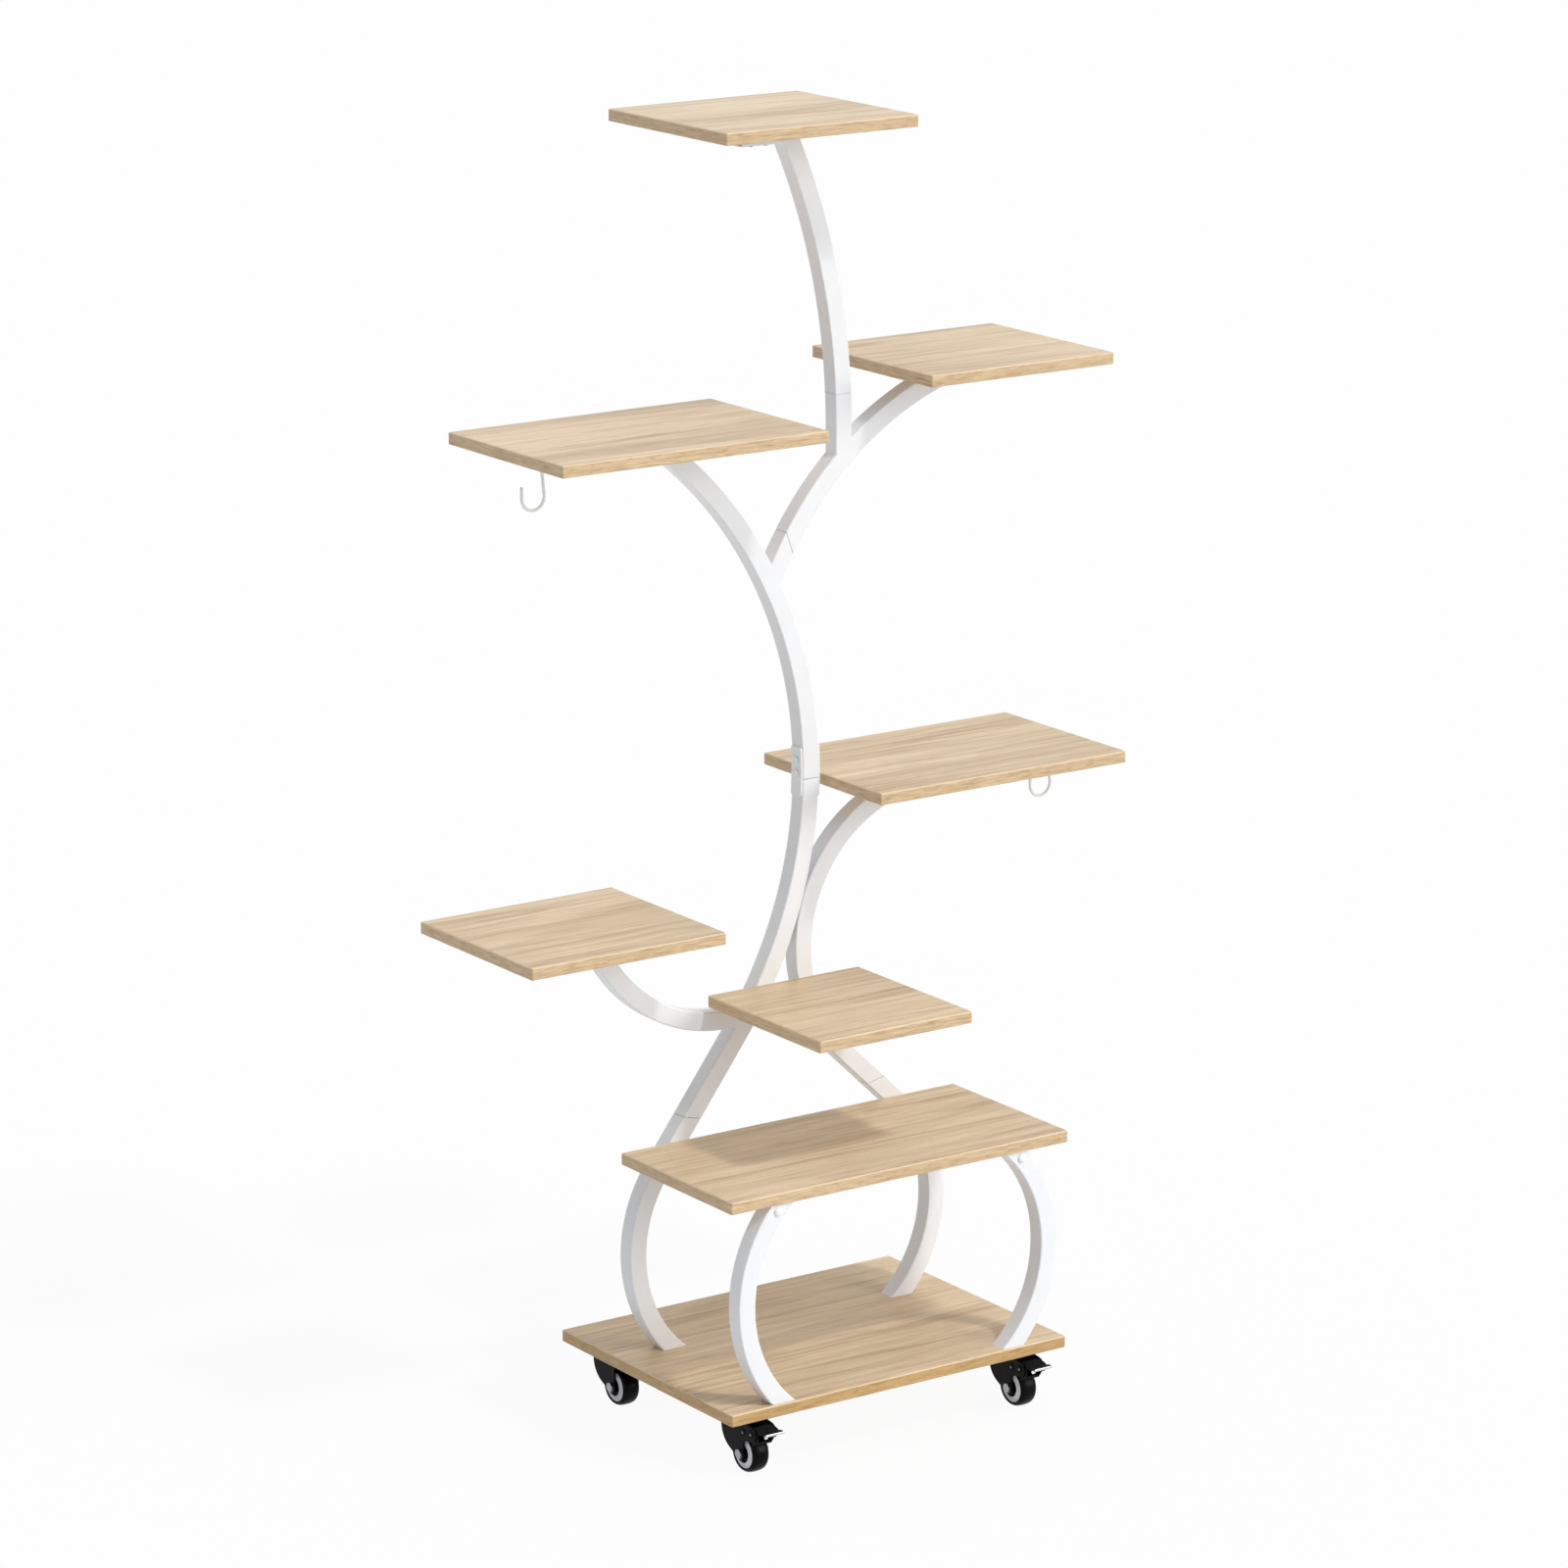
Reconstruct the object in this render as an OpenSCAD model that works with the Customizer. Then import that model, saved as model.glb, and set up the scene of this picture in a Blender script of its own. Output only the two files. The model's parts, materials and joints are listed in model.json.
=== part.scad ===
// Tree-shaped plant stand on four swivel casters: a white square-tube frame with eight wooden shelves.
// Millimetres, +Z up, front towards -Y. The tube frame of the tree lies in the plane y = 0 before the
// final shift, which puts the origin on the floor under the middle of the whole stand.

/* [Boards] */
// Thickness of every board
board_thickness = 12; // [10:1:16]
// Width of the base board and of the low shelf
base_width = 400; // [380:10:440]
// Depth of the base board
base_depth = 300; // [290:10:340]
// Distance from the tree plane to the base board's back edge
base_behind_tree = 100; // [90:5:120]
// Width of the left low, right high and top shelves
small_shelf_width = 220; // [200:10:240]
// Width of the right middle shelf and the left high shelf
large_shelf_width = 300; // [280:10:320]
// Depth of the shelves carried by the branches
tree_shelf_depth = 200; // [160:10:220]
// Width of the narrow front shelf
front_shelf_width = 180; // [170:10:200]
// Middle of the front shelf from the middle of the base
front_shelf_x = -8; // [-12:1:-4]

/* [Shelf heights above the base board] */
// Top of the low shelf
low_shelf_rise = 213; // [205:1:225]
// Top of the front shelf
front_shelf_rise = 355; // [340:1:370]
// Top of the left low shelf
left_low_rise = 446; // [436:1:452]
// Top of the right middle shelf
right_mid_rise = 556; // [550:1:562]
// Top of the left high shelf
left_high_rise = 920; // [910:1:930]
// Top of the right high shelf
right_high_rise = 960; // [956:1:964]
// Top of the top shelf
top_rise = 1212; // [1180:1:1250]

/* [Shelf middles from the middle of the base] */
// Left low shelf
left_low_x = -247; // [-252:1:-242]
// Right middle shelf
right_mid_x = 194; // [190:1:204]
// Left high shelf
left_high_x = -168; // [-174:1:-162]
// Right high shelf
right_high_x = 212; // [208:1:218]
// Top shelf
top_x = -25; // [-29:1:-21]

/* [Tubes] */
// Outside of the square tube
tube = 19; // [17:1:20]
// Wall of the square tube
tube_wall = 1.2; // [1:0.1:1.5]
// Length of the short bar welded under each branch shelf
bar_length = 60; // [54:2:66]
// Bend radius of the legs along the tube's middle
leg_radius = 142; // [136:1:146]
// Middle of a leg's bend from the middle of the base
leg_middle = 38; // [30:1:44]
// Bend radius of the left trunk along the tube's middle
trunk_radius = 423; // [419:1:427]
// Middle of the left trunk's bend, sideways
trunk_bend_x = -398; // [-401:1:-395]
// Middle of the left trunk's bend, above the base board
trunk_bend_rise = 562; // [559:1:565]
// Bend radius of the right trunk along the tube's middle
right_trunk_radius = 152; // [148:1:154]
// Bend radius of the low left branch
low_branch_radius = 164; // [162:1:166]
// Middle of the low left branch's bend, sideways
low_branch_x = -73; // [-76:1:-70]
// Middle of the low left branch's bend, above the base board
low_branch_rise = 490; // [488:1:493]
// Bend radius of the high right branch
high_branch_radius = 338; // [336:1:340]
// Where the high right branch leaves the left trunk, above the base board
branch_root_rise = 754; // [748:1:760]
// Bend radius of the top branch
top_branch_radius = 676; // [670:1:682]
// Middle line of the upright stub that carries the top branch
stub_x = 63.5; // [61:0.5:66]
// Height above the base board at which the top branch starts to bend
top_bend_rise = 901; // [895:1:905]

/* [Tube joints] */
// Joint of both back legs with their trunks, above the base board
leg_joint_rise = 231; // [226:1:238]
// Splice of the left trunk, above the base board
splice_rise = 555; // [551:1:558]
// Joint of the top branch, above the base board
top_joint_rise = 933; // [930:1:938]
// Joint of the high right branch, above the base board
branch_joint_rise = 793; // [790:1:797]
// Lean of that joint's cut from level
branch_joint_lean = 110; // [105:1:125]
// Half length of the spigots inside the joints
spigot_reach = 26; // [20:1:28]
// Half length of the short spigots in the two upper joints
short_reach = 12; // [8:1:14]
// Length of the two splice plates
plate_length = 51; // [50:1:56]
// Thickness of the splice plates
plate_thickness = 1.5; // [1:0.1:2]
// Width of the splice plates
plate_width = 17; // [14:0.5:17]

/* [Fasteners] */
// Frame bolt radius
bolt_radius = 2.5; // [2:0.25:3]
// Frame bolt head radius
bolt_head_radius = 4.2; // [3.5:0.1:4.8]
// Frame bolt head height
bolt_head_height = 2.6; // [2:0.1:3]
// Wood screw radius
screw_radius = 1.9; // [1.5:0.1:2]
// Wood screw head radius
screw_head_radius = 3.4; // [2.8:0.1:3.6]
// Wood screw head height
screw_head_height = 1.8; // [1.2:0.1:2]
// Depth of the wood screws in the boards
screw_bite = 9; // [6:1:9]

/* [Angles under the low shelves] */
// Width of each angle
angle_width = 30; // [24:1:32]
// Height and depth of each angle's flanges
angle_flange = 20; // [18:1:22]
// Sheet thickness of each angle
angle_sheet = 2; // [1.5:0.5:2.5]
// Bolt height below the shelf
angle_bolt_drop = 7; // [6:0.5:8]

/* [Hooks] */
// Hook wire radius
wire_radius = 1.5; // [1.2:0.1:1.8]
// Hook bend radius along the wire's middle
hook_radius = 12.5; // [11:0.5:14]
// Lowest point of the hooks below their shelf
hook_drop = 52; // [46:1:56]
// Middle of the hook's bend from the shelf's end
hook_inset = 31; // [28:1:36]

/* [Casters] */
// Height from the floor to the base board
caster_height = 59.5; // [58.5:0.5:64]
// Swivel axis from the base board's side edge
caster_inset_x = 39; // [37:0.5:43]
// Swivel axis from the base board's front or back edge
caster_inset_y = 37; // [36:0.5:42]
// Wheel radius
wheel_radius = 20; // [18:0.5:20]
// Wheel width
wheel_width = 19; // [17:0.5:19]
// Wheel axle behind the swivel axis
caster_trail = 11.5; // [10.5:0.5:12]
// Axle bolt radius
axle_radius = 3; // [2.5:0.25:3]
// Across flats of the axle bolt's head and nut
axle_flats = 9; // [8:0.5:10]
// Fork sheet thickness
fork_sheet = 2; // [1.5:0.25:2]
// Brake pedal width
pedal_width = 22; // [20:0.5:22]
// Reach of the brake pedal from the swivel axis
pedal_reach = 53; // [50:0.5:55]

/* [Hidden] */
$fn = 64;

// Clearances
seat_gap = 0.05;
running_gap = 0.05;
moving_gap = 0.3;
touch_gap = 0.2;
open_end = 1;
weld_step = 0.1;
weld_overlap = 1;
reach = 900;

// Colours
wood = [0.86, 0.74, 0.58];
white_paint = [0.93, 0.93, 0.93];
black_paint = [0.05, 0.05, 0.055];
steel = [0.6, 0.61, 0.63];
rubber = [0.04, 0.04, 0.04];
ring_white = [0.85, 0.85, 0.87];

// Levels
base_under = caster_height;
base_top = base_under + board_thickness;
low_under = base_top + low_shelf_rise - board_thickness;
front_under = base_top + front_shelf_rise - board_thickness;
left_low_under = base_top + left_low_rise - board_thickness;
right_mid_under = base_top + right_mid_rise - board_thickness;
left_high_under = base_top + left_high_rise - board_thickness;
right_high_under = base_top + right_high_rise - board_thickness;
top_under = base_top + top_rise - board_thickness;

// Base board and the shelves in front of the tree plane
base_back = base_behind_tree;
base_front = base_back - base_depth;
tree_front = -tube / 2;
front_depth = tree_front - base_front;
leg_face_inset = 2.5;
front_leg_y = base_front + leg_face_inset + tube / 2;

// Tube
bore = tube - 2 * tube_wall;
spigot_size = bore - 2 * running_gap;
spigot_wall = 2;
foot_plate = 3;

// Legs: the bend's middle is half way between the base board and the low shelf
leg_bend_z = (base_top + low_under) / 2;
foot_offset = sqrt(pow(leg_radius, 2) - pow(leg_bend_z - base_top, 2));
foot_x = leg_middle + foot_offset;
leg_foot_angle = 180 + acos(foot_offset / leg_radius) + 8;
leg_top_angle = 180 - acos(foot_offset / leg_radius) - 8;
bolt_z = low_under - angle_bolt_drop;
bolt_x = leg_middle + sqrt(pow(leg_radius, 2) - pow(bolt_z - leg_bend_z, 2));

// Left trunk: a straight stretch touches the leg's bend on one side and the trunk's bend on the other
trunk_bend = [trunk_bend_x, base_top + trunk_bend_rise];
left_span = [trunk_bend[0] + leg_middle, trunk_bend[1] - leg_bend_z];
left_turn = atan2(left_span[1], left_span[0]) + acos((leg_radius + trunk_radius) / norm(left_span));
left_straight = sqrt(pow(norm(left_span), 2) - pow(leg_radius + trunk_radius, 2));
leg_joint_z = base_top + leg_joint_rise;
least_lead = spigot_reach + 2;
left_lead = max(least_lead, (leg_joint_z - leg_bend_z - leg_radius * sin(left_turn)) / -cos(left_turn));
splice_z = base_top + splice_rise;
splice_angle = asin((splice_z - trunk_bend[1]) / trunk_radius);
trunk_end_angle = asin((left_high_under - trunk_bend[1]) / (trunk_radius - tube / 2)) + 1;

// Right trunk: it just misses the left trunk and turns level under the right middle shelf
right_bend_z = right_mid_under - tube / 2 - right_trunk_radius;
trunks_apart = trunk_radius + right_trunk_radius + tube + touch_gap;
beside_trunk_x = trunk_bend[0] + sqrt(pow(trunks_apart, 2) - pow(trunk_bend[1] - right_bend_z, 2));
least_straight = 2 * least_lead + spigot_reach;
least_span = norm([leg_radius + right_trunk_radius, least_straight]);
clear_of_leg_x = leg_middle + sqrt(max(0, pow(least_span, 2) - pow(right_bend_z - leg_bend_z, 2)));
right_bend_x = max(beside_trunk_x, clear_of_leg_x);
right_bend = [right_bend_x, right_bend_z];
right_span = [right_bend[0] - leg_middle, right_bend[1] - leg_bend_z];
right_turn = atan2(right_span[1], right_span[0])
    - acos((leg_radius + right_trunk_radius) / norm(right_span));
right_straight = sqrt(pow(norm(right_span), 2) - pow(leg_radius + right_trunk_radius, 2));
right_lead = max(least_lead, (leg_joint_z - leg_bend_z - leg_radius * sin(right_turn)) / cos(right_turn));

// Low left branch: it runs from the left trunk's middle line up to its shelf
low_bend = [low_branch_x, base_top + low_branch_rise];
low_to_trunk = trunk_bend - low_bend;
low_branch_end = atan2(low_to_trunk[1], low_to_trunk[0])
    + acos((pow(low_branch_radius, 2) + pow(norm(low_to_trunk), 2) - pow(trunk_radius, 2))
        / (2 * low_branch_radius * norm(low_to_trunk)));
low_branch_start = 180 + asin((low_bend[1] - left_low_under) / low_branch_radius) - 8;

// High right branch: one bend from the left trunk's middle line to the bar under its shelf
bar_bite = 5;
high_root_z = base_top + branch_root_rise;
high_root = [
    trunk_bend[0] + sqrt(pow(trunk_radius, 2) - pow(high_root_z - trunk_bend[1], 2)),
    high_root_z
];
high_tip = [right_high_x - bar_length / 2 + bar_bite, right_high_under - tube / 2];
high_chord = high_tip - high_root;
high_rise = sqrt(pow(high_branch_radius, 2) - pow(norm(high_chord) / 2, 2)) / norm(high_chord);
high_bend = (high_root + high_tip) / 2 + high_rise * [high_chord[1], -high_chord[0]];
high_branch_root = 180 + atan2(high_bend[1] - high_root[1], high_bend[0] - high_root[0]);
high_branch_tip = atan2(high_tip[1] - high_bend[1], high_tip[0] - high_bend[0]);
branch_joint_z = base_top + branch_joint_rise;
branch_joint_angle = 180 - asin((branch_joint_z - high_bend[1]) / high_branch_radius);
branch_joint_x = high_bend[0] + high_branch_radius * cos(branch_joint_angle);

// Top branch: an upright stub on the high right branch, then a long bend to the top shelf
top_bend = [stub_x - top_branch_radius, base_top + top_bend_rise];
stub_foot = high_bend[1] + sqrt(pow(high_branch_radius, 2) - pow(high_bend[0] - stub_x, 2));
top_joint_z = base_top + top_joint_rise;
top_joint_angle = asin((top_joint_z - top_bend[1]) / top_branch_radius);
top_end_angle = asin((top_under - top_bend[1]) / (top_branch_radius - tube / 2)) + 1;

// Splice bolts: both sit above the splice, in the upper trunk, their heads just clear of the curved plate
splice_bolt_levels = [splice_z + 5, splice_z + 18.5];
plate_gap = 0.1;
function splice_grip(level) = tube / 2 + plate_gap + plate_thickness + seat_gap + trunk_radius
    - sqrt(pow(trunk_radius, 2) - pow(abs(level - trunk_bend[1]) + bolt_head_radius, 2));

// Angles under the front shelf
front_bolt_z = front_under - angle_bolt_drop;
front_left_angle_x = trunk_bend[0]
    + sqrt(pow(trunk_radius, 2) - pow(trunk_bend[1] - front_bolt_z, 2));
front_right_angle_x = right_bend[0]
    - sqrt(pow(right_trunk_radius, 2) - pow(right_bend[1] - front_bolt_z, 2));

// Screws up through the base board into the legs' foot plates
foot_screw_radius = 3;
foot_screw_head_radius = 5.5;
foot_screw_head = 3;

// Screws under the branch shelves
bar_screw_offsets = [-14.5, 2.5];
bar_screw_hole = screw_radius + 0.2;

// Hooks
hook_lean = 6;
hook_tip = 10;
hook_bite = 8;
hook_bend_drop = hook_drop - hook_radius - wire_radius;

// Casters
caster_x = base_width / 2 - caster_inset_x;
caster_front_y = base_front + caster_inset_y;
caster_back_y = base_back - caster_inset_y;
caster_spots = [
    [-caster_x, caster_front_y],
    [caster_x, caster_front_y],
    [-caster_x, caster_back_y],
    [caster_x, caster_back_y]
];
top_plate_size = 42;
top_plate_sheet = 2;
top_plate_screw = 16;
race_radius = 15;
race_depth = 2.7;
crown_top = -(top_plate_sheet + race_depth + moving_gap);
crown_sheet = 2.5;
crown_radius = 17;
crown_under = crown_top - crown_sheet;
kingpin_radius = 4;
kingpin_head_radius = 7;
kingpin_head = 2;
axle_drop = caster_height - wheel_radius;
fork_inner = wheel_width / 2 + 1;
fork_outer = fork_inner + fork_sheet;
fork_boss = 6.5;
tyre_inner = wheel_radius - 4.6;
tyre_edge_drop = 1.6;
tyre_edge_width = 4;
hub_half = fork_inner - moving_gap;
hub_boss = 6;
hub_core = 9.9;
hub_web_half = 7.2;
outer_rim_half = 8.4;
inner_rim_half = 9.9;
rim_sheet = 1.1;
groove_depth = 0.9;
axle_head = 2.8;
axle_nut = 5;
axle_end = 1;

// Brake pedal, measured from the swivel axis and the underside of the base board
pivot = [-29.4, -15];
rivet = [-16, -16.6];
pivot_radius = 1.5;
pivot_head_radius = 2;
pivot_head = 0.8;
pivot_lobe = 7.5;
rivet_lobe = 7;
hood_top = -8;
hood_sheet = 1.8;
hood_back = -20;
hood_bend = -33;
hood_radius = 22;
hood_foot = -44;
flange_top = -8.9;
lip_height = 2.4;
lip_thickness = 1.4;
pedal_step = pivot[0] - pivot_lobe - moving_gap - 0.2;
pedal_cheek = 1.6;
pedal_cheek_radius = 4.6;
nub_size = [4, 2.5, 1.9];
shoe_spot = [-30.6, -25];
shoe_radius = 2;

// Overall box, from the outermost boards and the brake pedals
left_end = left_low_x - small_shelf_width / 2;
right_end = right_mid_x + large_shelf_width / 2;
front_end = caster_front_y - pedal_reach;
back_end = max(base_back, tree_shelf_depth / 2);
origin_shift = [-(left_end + right_end) / 2, -(front_end + back_end) / 2, 0];

module placed() {
    translate(origin_shift)
        children();
}

// Square section, hollow where an inner size is given
module section(size, inner = 0) {
    difference() {
        square(size, center = true);
        if (inner > 0)
            square(inner, center = true);
    }
}

// A run in the tree plane: a bend around a middle point with straight stretches at its two ends
module run(middle, radius, from, to, size, lead_in = 0, lead_out = 0, inner = 0) {
    translate([middle[0], 0, middle[1]])
        rotate([90, 0, 0]) {
            rotate([0, 0, from])
                rotate_extrude(angle = to - from, $fn = 180)
                    translate([radius, 0])
                        section(size, inner);
            if (lead_in > 0)
                rotate([0, 0, from])
                    translate([radius, 0, 0])
                        rotate([90, 0, 0])
                            linear_extrude(height = lead_in)
                                section(size, inner);
            if (lead_out > 0)
                rotate([0, 0, to])
                    translate([radius, -weld_overlap, 0])
                        rotate([-90, 0, 0])
                            linear_extrude(height = lead_out + weld_overlap)
                                section(size - weld_step, inner - weld_step);
        }
}

// Keeps what lies between two levels
module between(low, high) {
    intersection() {
        children();
        translate([-reach, -reach, low])
            cube([2 * reach, 2 * reach, high - low]);
    }
}

// Block on the right-hand side of a leaning cut
module right_of(spot, lean) {
    translate([spot[0], 0, spot[1]])
        rotate([0, 90 - lean, 0])
            translate([0, -reach / 2, -reach / 2])
                cube(reach);
}

module board(middle_x, front, width, depth, under) {
    translate([middle_x - width / 2, front, under])
        cube([width, depth, board_thickness]);
}

module tree_board(middle_x, width, under) {
    board(middle_x, -tree_shelf_depth / 2, width, tree_shelf_depth, under);
}

// Positions of the two screws under each branch shelf
module at_bar_screws(middle_x, under) {
    for (offset = bar_screw_offsets)
        translate([middle_x + offset, 0, under])
            children();
}

module bar_screw_pilots(middle_x, under) {
    at_bar_screws(middle_x, under)
        translate([0, 0, -1])
            cylinder(r = screw_radius + seat_gap, h = screw_bite + 1);
}

module bar_screw_holes(middle_x, under) {
    at_bar_screws(middle_x, under)
        translate([0, 0, -tube - 1])
            cylinder(r = bar_screw_hole, h = tube + 2);
}

// Short bar under a branch shelf, and its hollow
module bar(middle_x, under, wall = 0) {
    size = tube - 2 * weld_step - 2 * wall;
    translate([middle_x, 0, under - tube / 2])
        cube([bar_length - 2 * wall, size, size], center = true);
}

module base_board() {
    color(wood)
        difference() {
            board(0, base_front, base_width, base_depth, base_under);
            at_feet()
                foot_screw_shape(seat_gap, board_thickness + 1);
            at_caster_screws()
                translate([0, 0, -1])
                    cylinder(r = screw_radius + seat_gap, h = screw_bite + 1);
        }
}

module low_shelf() {
    color(wood)
        difference() {
            board(0, base_front, base_width, front_depth, low_under);
            at_low_angles()
                angle_pilots();
        }
}

module front_shelf() {
    color(wood)
        difference() {
            board(front_shelf_x, base_front, front_shelf_width, front_depth, front_under);
            at_front_angles()
                angle_pilots();
        }
}

module left_low_shelf() {
    color(wood)
        difference() {
            tree_board(left_low_x, small_shelf_width, left_low_under);
            bar_screw_pilots(left_low_x, left_low_under);
        }
}

module right_mid_shelf() {
    color(wood)
        difference() {
            tree_board(right_mid_x, large_shelf_width, right_mid_under);
            bar_screw_pilots(right_mid_x, right_mid_under);
            at_right_hook()
                hook_stem(wire_radius);
        }
}

module left_high_shelf() {
    color(wood)
        difference() {
            tree_board(left_high_x, large_shelf_width, left_high_under);
            bar_screw_pilots(left_high_x, left_high_under);
            at_left_hook()
                hook_stem(wire_radius);
        }
}

module right_high_shelf() {
    color(wood)
        difference() {
            tree_board(right_high_x, small_shelf_width, right_high_under);
            bar_screw_pilots(right_high_x, right_high_under);
        }
}

module top_shelf() {
    color(wood)
        difference() {
            tree_board(top_x, small_shelf_width, top_under);
            bar_screw_pilots(top_x, top_under);
        }
}

module leg_run(size) {
    run([-leg_middle, leg_bend_z], leg_radius, leg_top_angle, leg_foot_angle, size);
}

// Free-standing front leg on the left, closed by a plate at each end
module front_leg_shape() {
    translate([0, front_leg_y, 0])
        difference() {
            between(base_top, low_under)
                leg_run(tube);
            between(base_top + foot_plate, low_under - tube_wall)
                leg_run(bore);
            leg_bolt_hole();
            foot_thread();
        }
}

module leg_bolt_hole() {
    translate([-bolt_x, 0, bolt_z])
        rotate([90, 0, 0])
            cylinder(r = bolt_radius + running_gap, h = tube + 2, center = true);
}

module foot_thread() {
    translate([-foot_x, 0, base_top - 1])
        cylinder(r = foot_screw_radius + running_gap, h = foot_plate + 2);
}

module front_left_leg() {
    color(white_paint)
        front_leg_shape();
}

module front_right_leg() {
    color(white_paint)
        mirror([1, 0, 0])
            front_leg_shape();
}

// Back leg on the left: its bend runs on into a straight stretch up to the trunk
module back_leg_shape(turn, lead) {
    difference() {
        between(base_top, reach)
            run([-leg_middle, leg_bend_z], leg_radius, turn, leg_foot_angle, tube, lead);
        between(base_top + foot_plate, reach)
            run([-leg_middle, leg_bend_z], leg_radius, turn, leg_foot_angle, bore, lead + open_end);
        leg_bolt_hole();
        foot_thread();
    }
}

module back_left_leg() {
    color(white_paint)
        back_leg_shape(left_turn, left_lead);
}

module back_right_leg() {
    color(white_paint)
        mirror([1, 0, 0])
            back_leg_shape(180 - right_turn, right_lead);
}

module lower_trunk_run(size, past = 0) {
    between(0, splice_z + past)
        run(trunk_bend, trunk_radius, left_turn - 180, splice_angle + 2, size,
            left_straight - left_lead + past);
}

module low_branch_run(size) {
    between(0, left_low_under)
        run(low_bend, low_branch_radius, low_branch_start, low_branch_end, size);
}

module left_trunk_lower() {
    color(white_paint)
        difference() {
            union() {
                lower_trunk_run(tube);
                low_branch_run(tube - weld_step);
                bar(left_low_x, left_low_under);
            }
            lower_trunk_run(bore, open_end);
            difference() {
                low_branch_run(bore);
                lower_trunk_run(tube);
            }
            difference() {
                bar(left_low_x, left_low_under, tube_wall);
                low_branch_run(tube - weld_step);
            }
            bar_screw_holes(left_low_x, left_low_under);
            front_angle_hole(front_left_angle_x);
        }
}

module upper_trunk_run(size) {
    between(splice_z, left_high_under)
        run(trunk_bend, trunk_radius, splice_angle - 2, trunk_end_angle, size);
}

// Root of the high right branch, up to its leaning joint
module branch_root_run(size) {
    difference() {
        run(high_bend, high_branch_radius, branch_joint_angle - 6, high_branch_root, size);
        right_of([branch_joint_x, branch_joint_z], branch_joint_lean);
    }
}

module left_trunk_upper() {
    color(white_paint)
        difference() {
            union() {
                upper_trunk_run(tube);
                branch_root_run(tube - weld_step);
                bar(left_high_x, left_high_under);
            }
            upper_trunk_run(bore);
            difference() {
                branch_root_run(bore);
                upper_trunk_run(tube);
            }
            difference() {
                bar(left_high_x, left_high_under, tube_wall);
                upper_trunk_run(tube);
            }
            bar_screw_holes(left_high_x, left_high_under);
            splice_bolt_holes();
        }
}

module right_trunk() {
    color(white_paint)
        difference() {
            union() {
                mirror([1, 0, 0])
                    run([-right_bend[0], right_bend[1]], right_trunk_radius, -right_turn, 90, tube,
                        right_straight - right_lead, right_mid_x + bar_length / 2 - right_bend[0], bore);
                translate([right_mid_x + bar_length / 2 - tube_wall, -tube / 2, right_mid_under - tube])
                    cube([tube_wall, tube, tube]);
            }
            bar_screw_holes(right_mid_x, right_mid_under);
            front_angle_hole(front_right_angle_x);
        }
}

// High right branch from its leaning joint to its shelf's bar
module high_branch_run(size) {
    between(0, right_high_under)
        intersection() {
            run(high_bend, high_branch_radius, high_branch_tip, branch_joint_angle + 6, size);
            right_of([branch_joint_x, branch_joint_z], branch_joint_lean);
        }
}

module stub_run(size) {
    run(top_bend, top_branch_radius, 0, top_joint_angle, size, top_bend[1] - stub_foot);
}

module high_right_branch() {
    color(white_paint)
        difference() {
            union() {
                high_branch_run(tube);
                stub_run(tube - weld_step);
                bar(right_high_x, right_high_under);
            }
            high_branch_run(bore);
            difference() {
                stub_run(bore);
                high_branch_run(tube);
            }
            difference() {
                bar(right_high_x, right_high_under, tube_wall);
                high_branch_run(tube);
            }
            bar_screw_holes(right_high_x, right_high_under);
        }
}

module top_branch_run(size) {
    between(0, top_under)
        run(top_bend, top_branch_radius, top_joint_angle, top_end_angle, size);
}

module top_branch() {
    color(white_paint)
        difference() {
            union() {
                top_branch_run(tube);
                bar(top_x, top_under);
            }
            top_branch_run(bore);
            difference() {
                bar(top_x, top_under, tube_wall);
                top_branch_run(tube);
            }
            bar_screw_holes(top_x, top_under);
        }
}

// Straight hollow spigot centred on a leg's joint
module leg_spigot_shape(turn, lead) {
    translate([-leg_middle, 0, leg_bend_z])
        rotate([90, 0, 0])
            rotate([0, 0, turn])
                translate([leg_radius, -lead, 0])
                    rotate([90, 0, 0])
                        difference() {
                            cube([spigot_size, spigot_size, 2 * spigot_reach], center = true);
                            cube([spigot_size - 2 * spigot_wall, spigot_size - 2 * spigot_wall,
                                2 * spigot_reach + 2], center = true);
                        }
}

module leg_spigots() {
    color(steel) {
        leg_spigot_shape(left_turn, left_lead);
        mirror([1, 0, 0])
            leg_spigot_shape(180 - right_turn, right_lead);
    }
}

// Bent hollow spigot that follows a branch's bend
module bent_spigot(middle, radius, angle) {
    sweep = short_reach / radius * 180 / PI;
    difference() {
        run(middle, radius, angle - sweep, angle + sweep, spigot_size);
        run(middle, radius, angle - 2 * sweep, angle + 2 * sweep, spigot_size - 2 * spigot_wall);
    }
}

module branch_spigots() {
    color(steel) {
        bent_spigot(high_bend, high_branch_radius, branch_joint_angle);
        bent_spigot(top_bend, top_branch_radius, top_joint_angle);
    }
}

// Rounded plate outline seen from the side, used to trim the splice plates
module plate_outline() {
    corner = 3;
    for (side = [-1, 1]) {
        for (end = [-1, 1])
            translate([0, side * (plate_width / 2 - corner), end * (plate_length / 2 - corner)])
                rotate([0, 90, 0])
                    cylinder(r = corner, h = 2 * tube, center = true, $fn = 32);
    }
    cube([2 * tube, plate_width - 2 * corner, plate_length], center = true);
    cube([2 * tube, plate_width, plate_length - 2 * corner], center = true);
}

module splice_plate_shape(inner) {
    sweep = plate_length / trunk_radius * 180 / PI;
    translate([trunk_bend[0], 0, trunk_bend[1]])
        rotate([90, 0, 0])
            rotate([0, 0, -sweep])
                rotate_extrude(angle = 2 * sweep, $fn = 180)
                    translate([inner, -tube])
                        square([plate_thickness, 2 * tube]);
}

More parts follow.
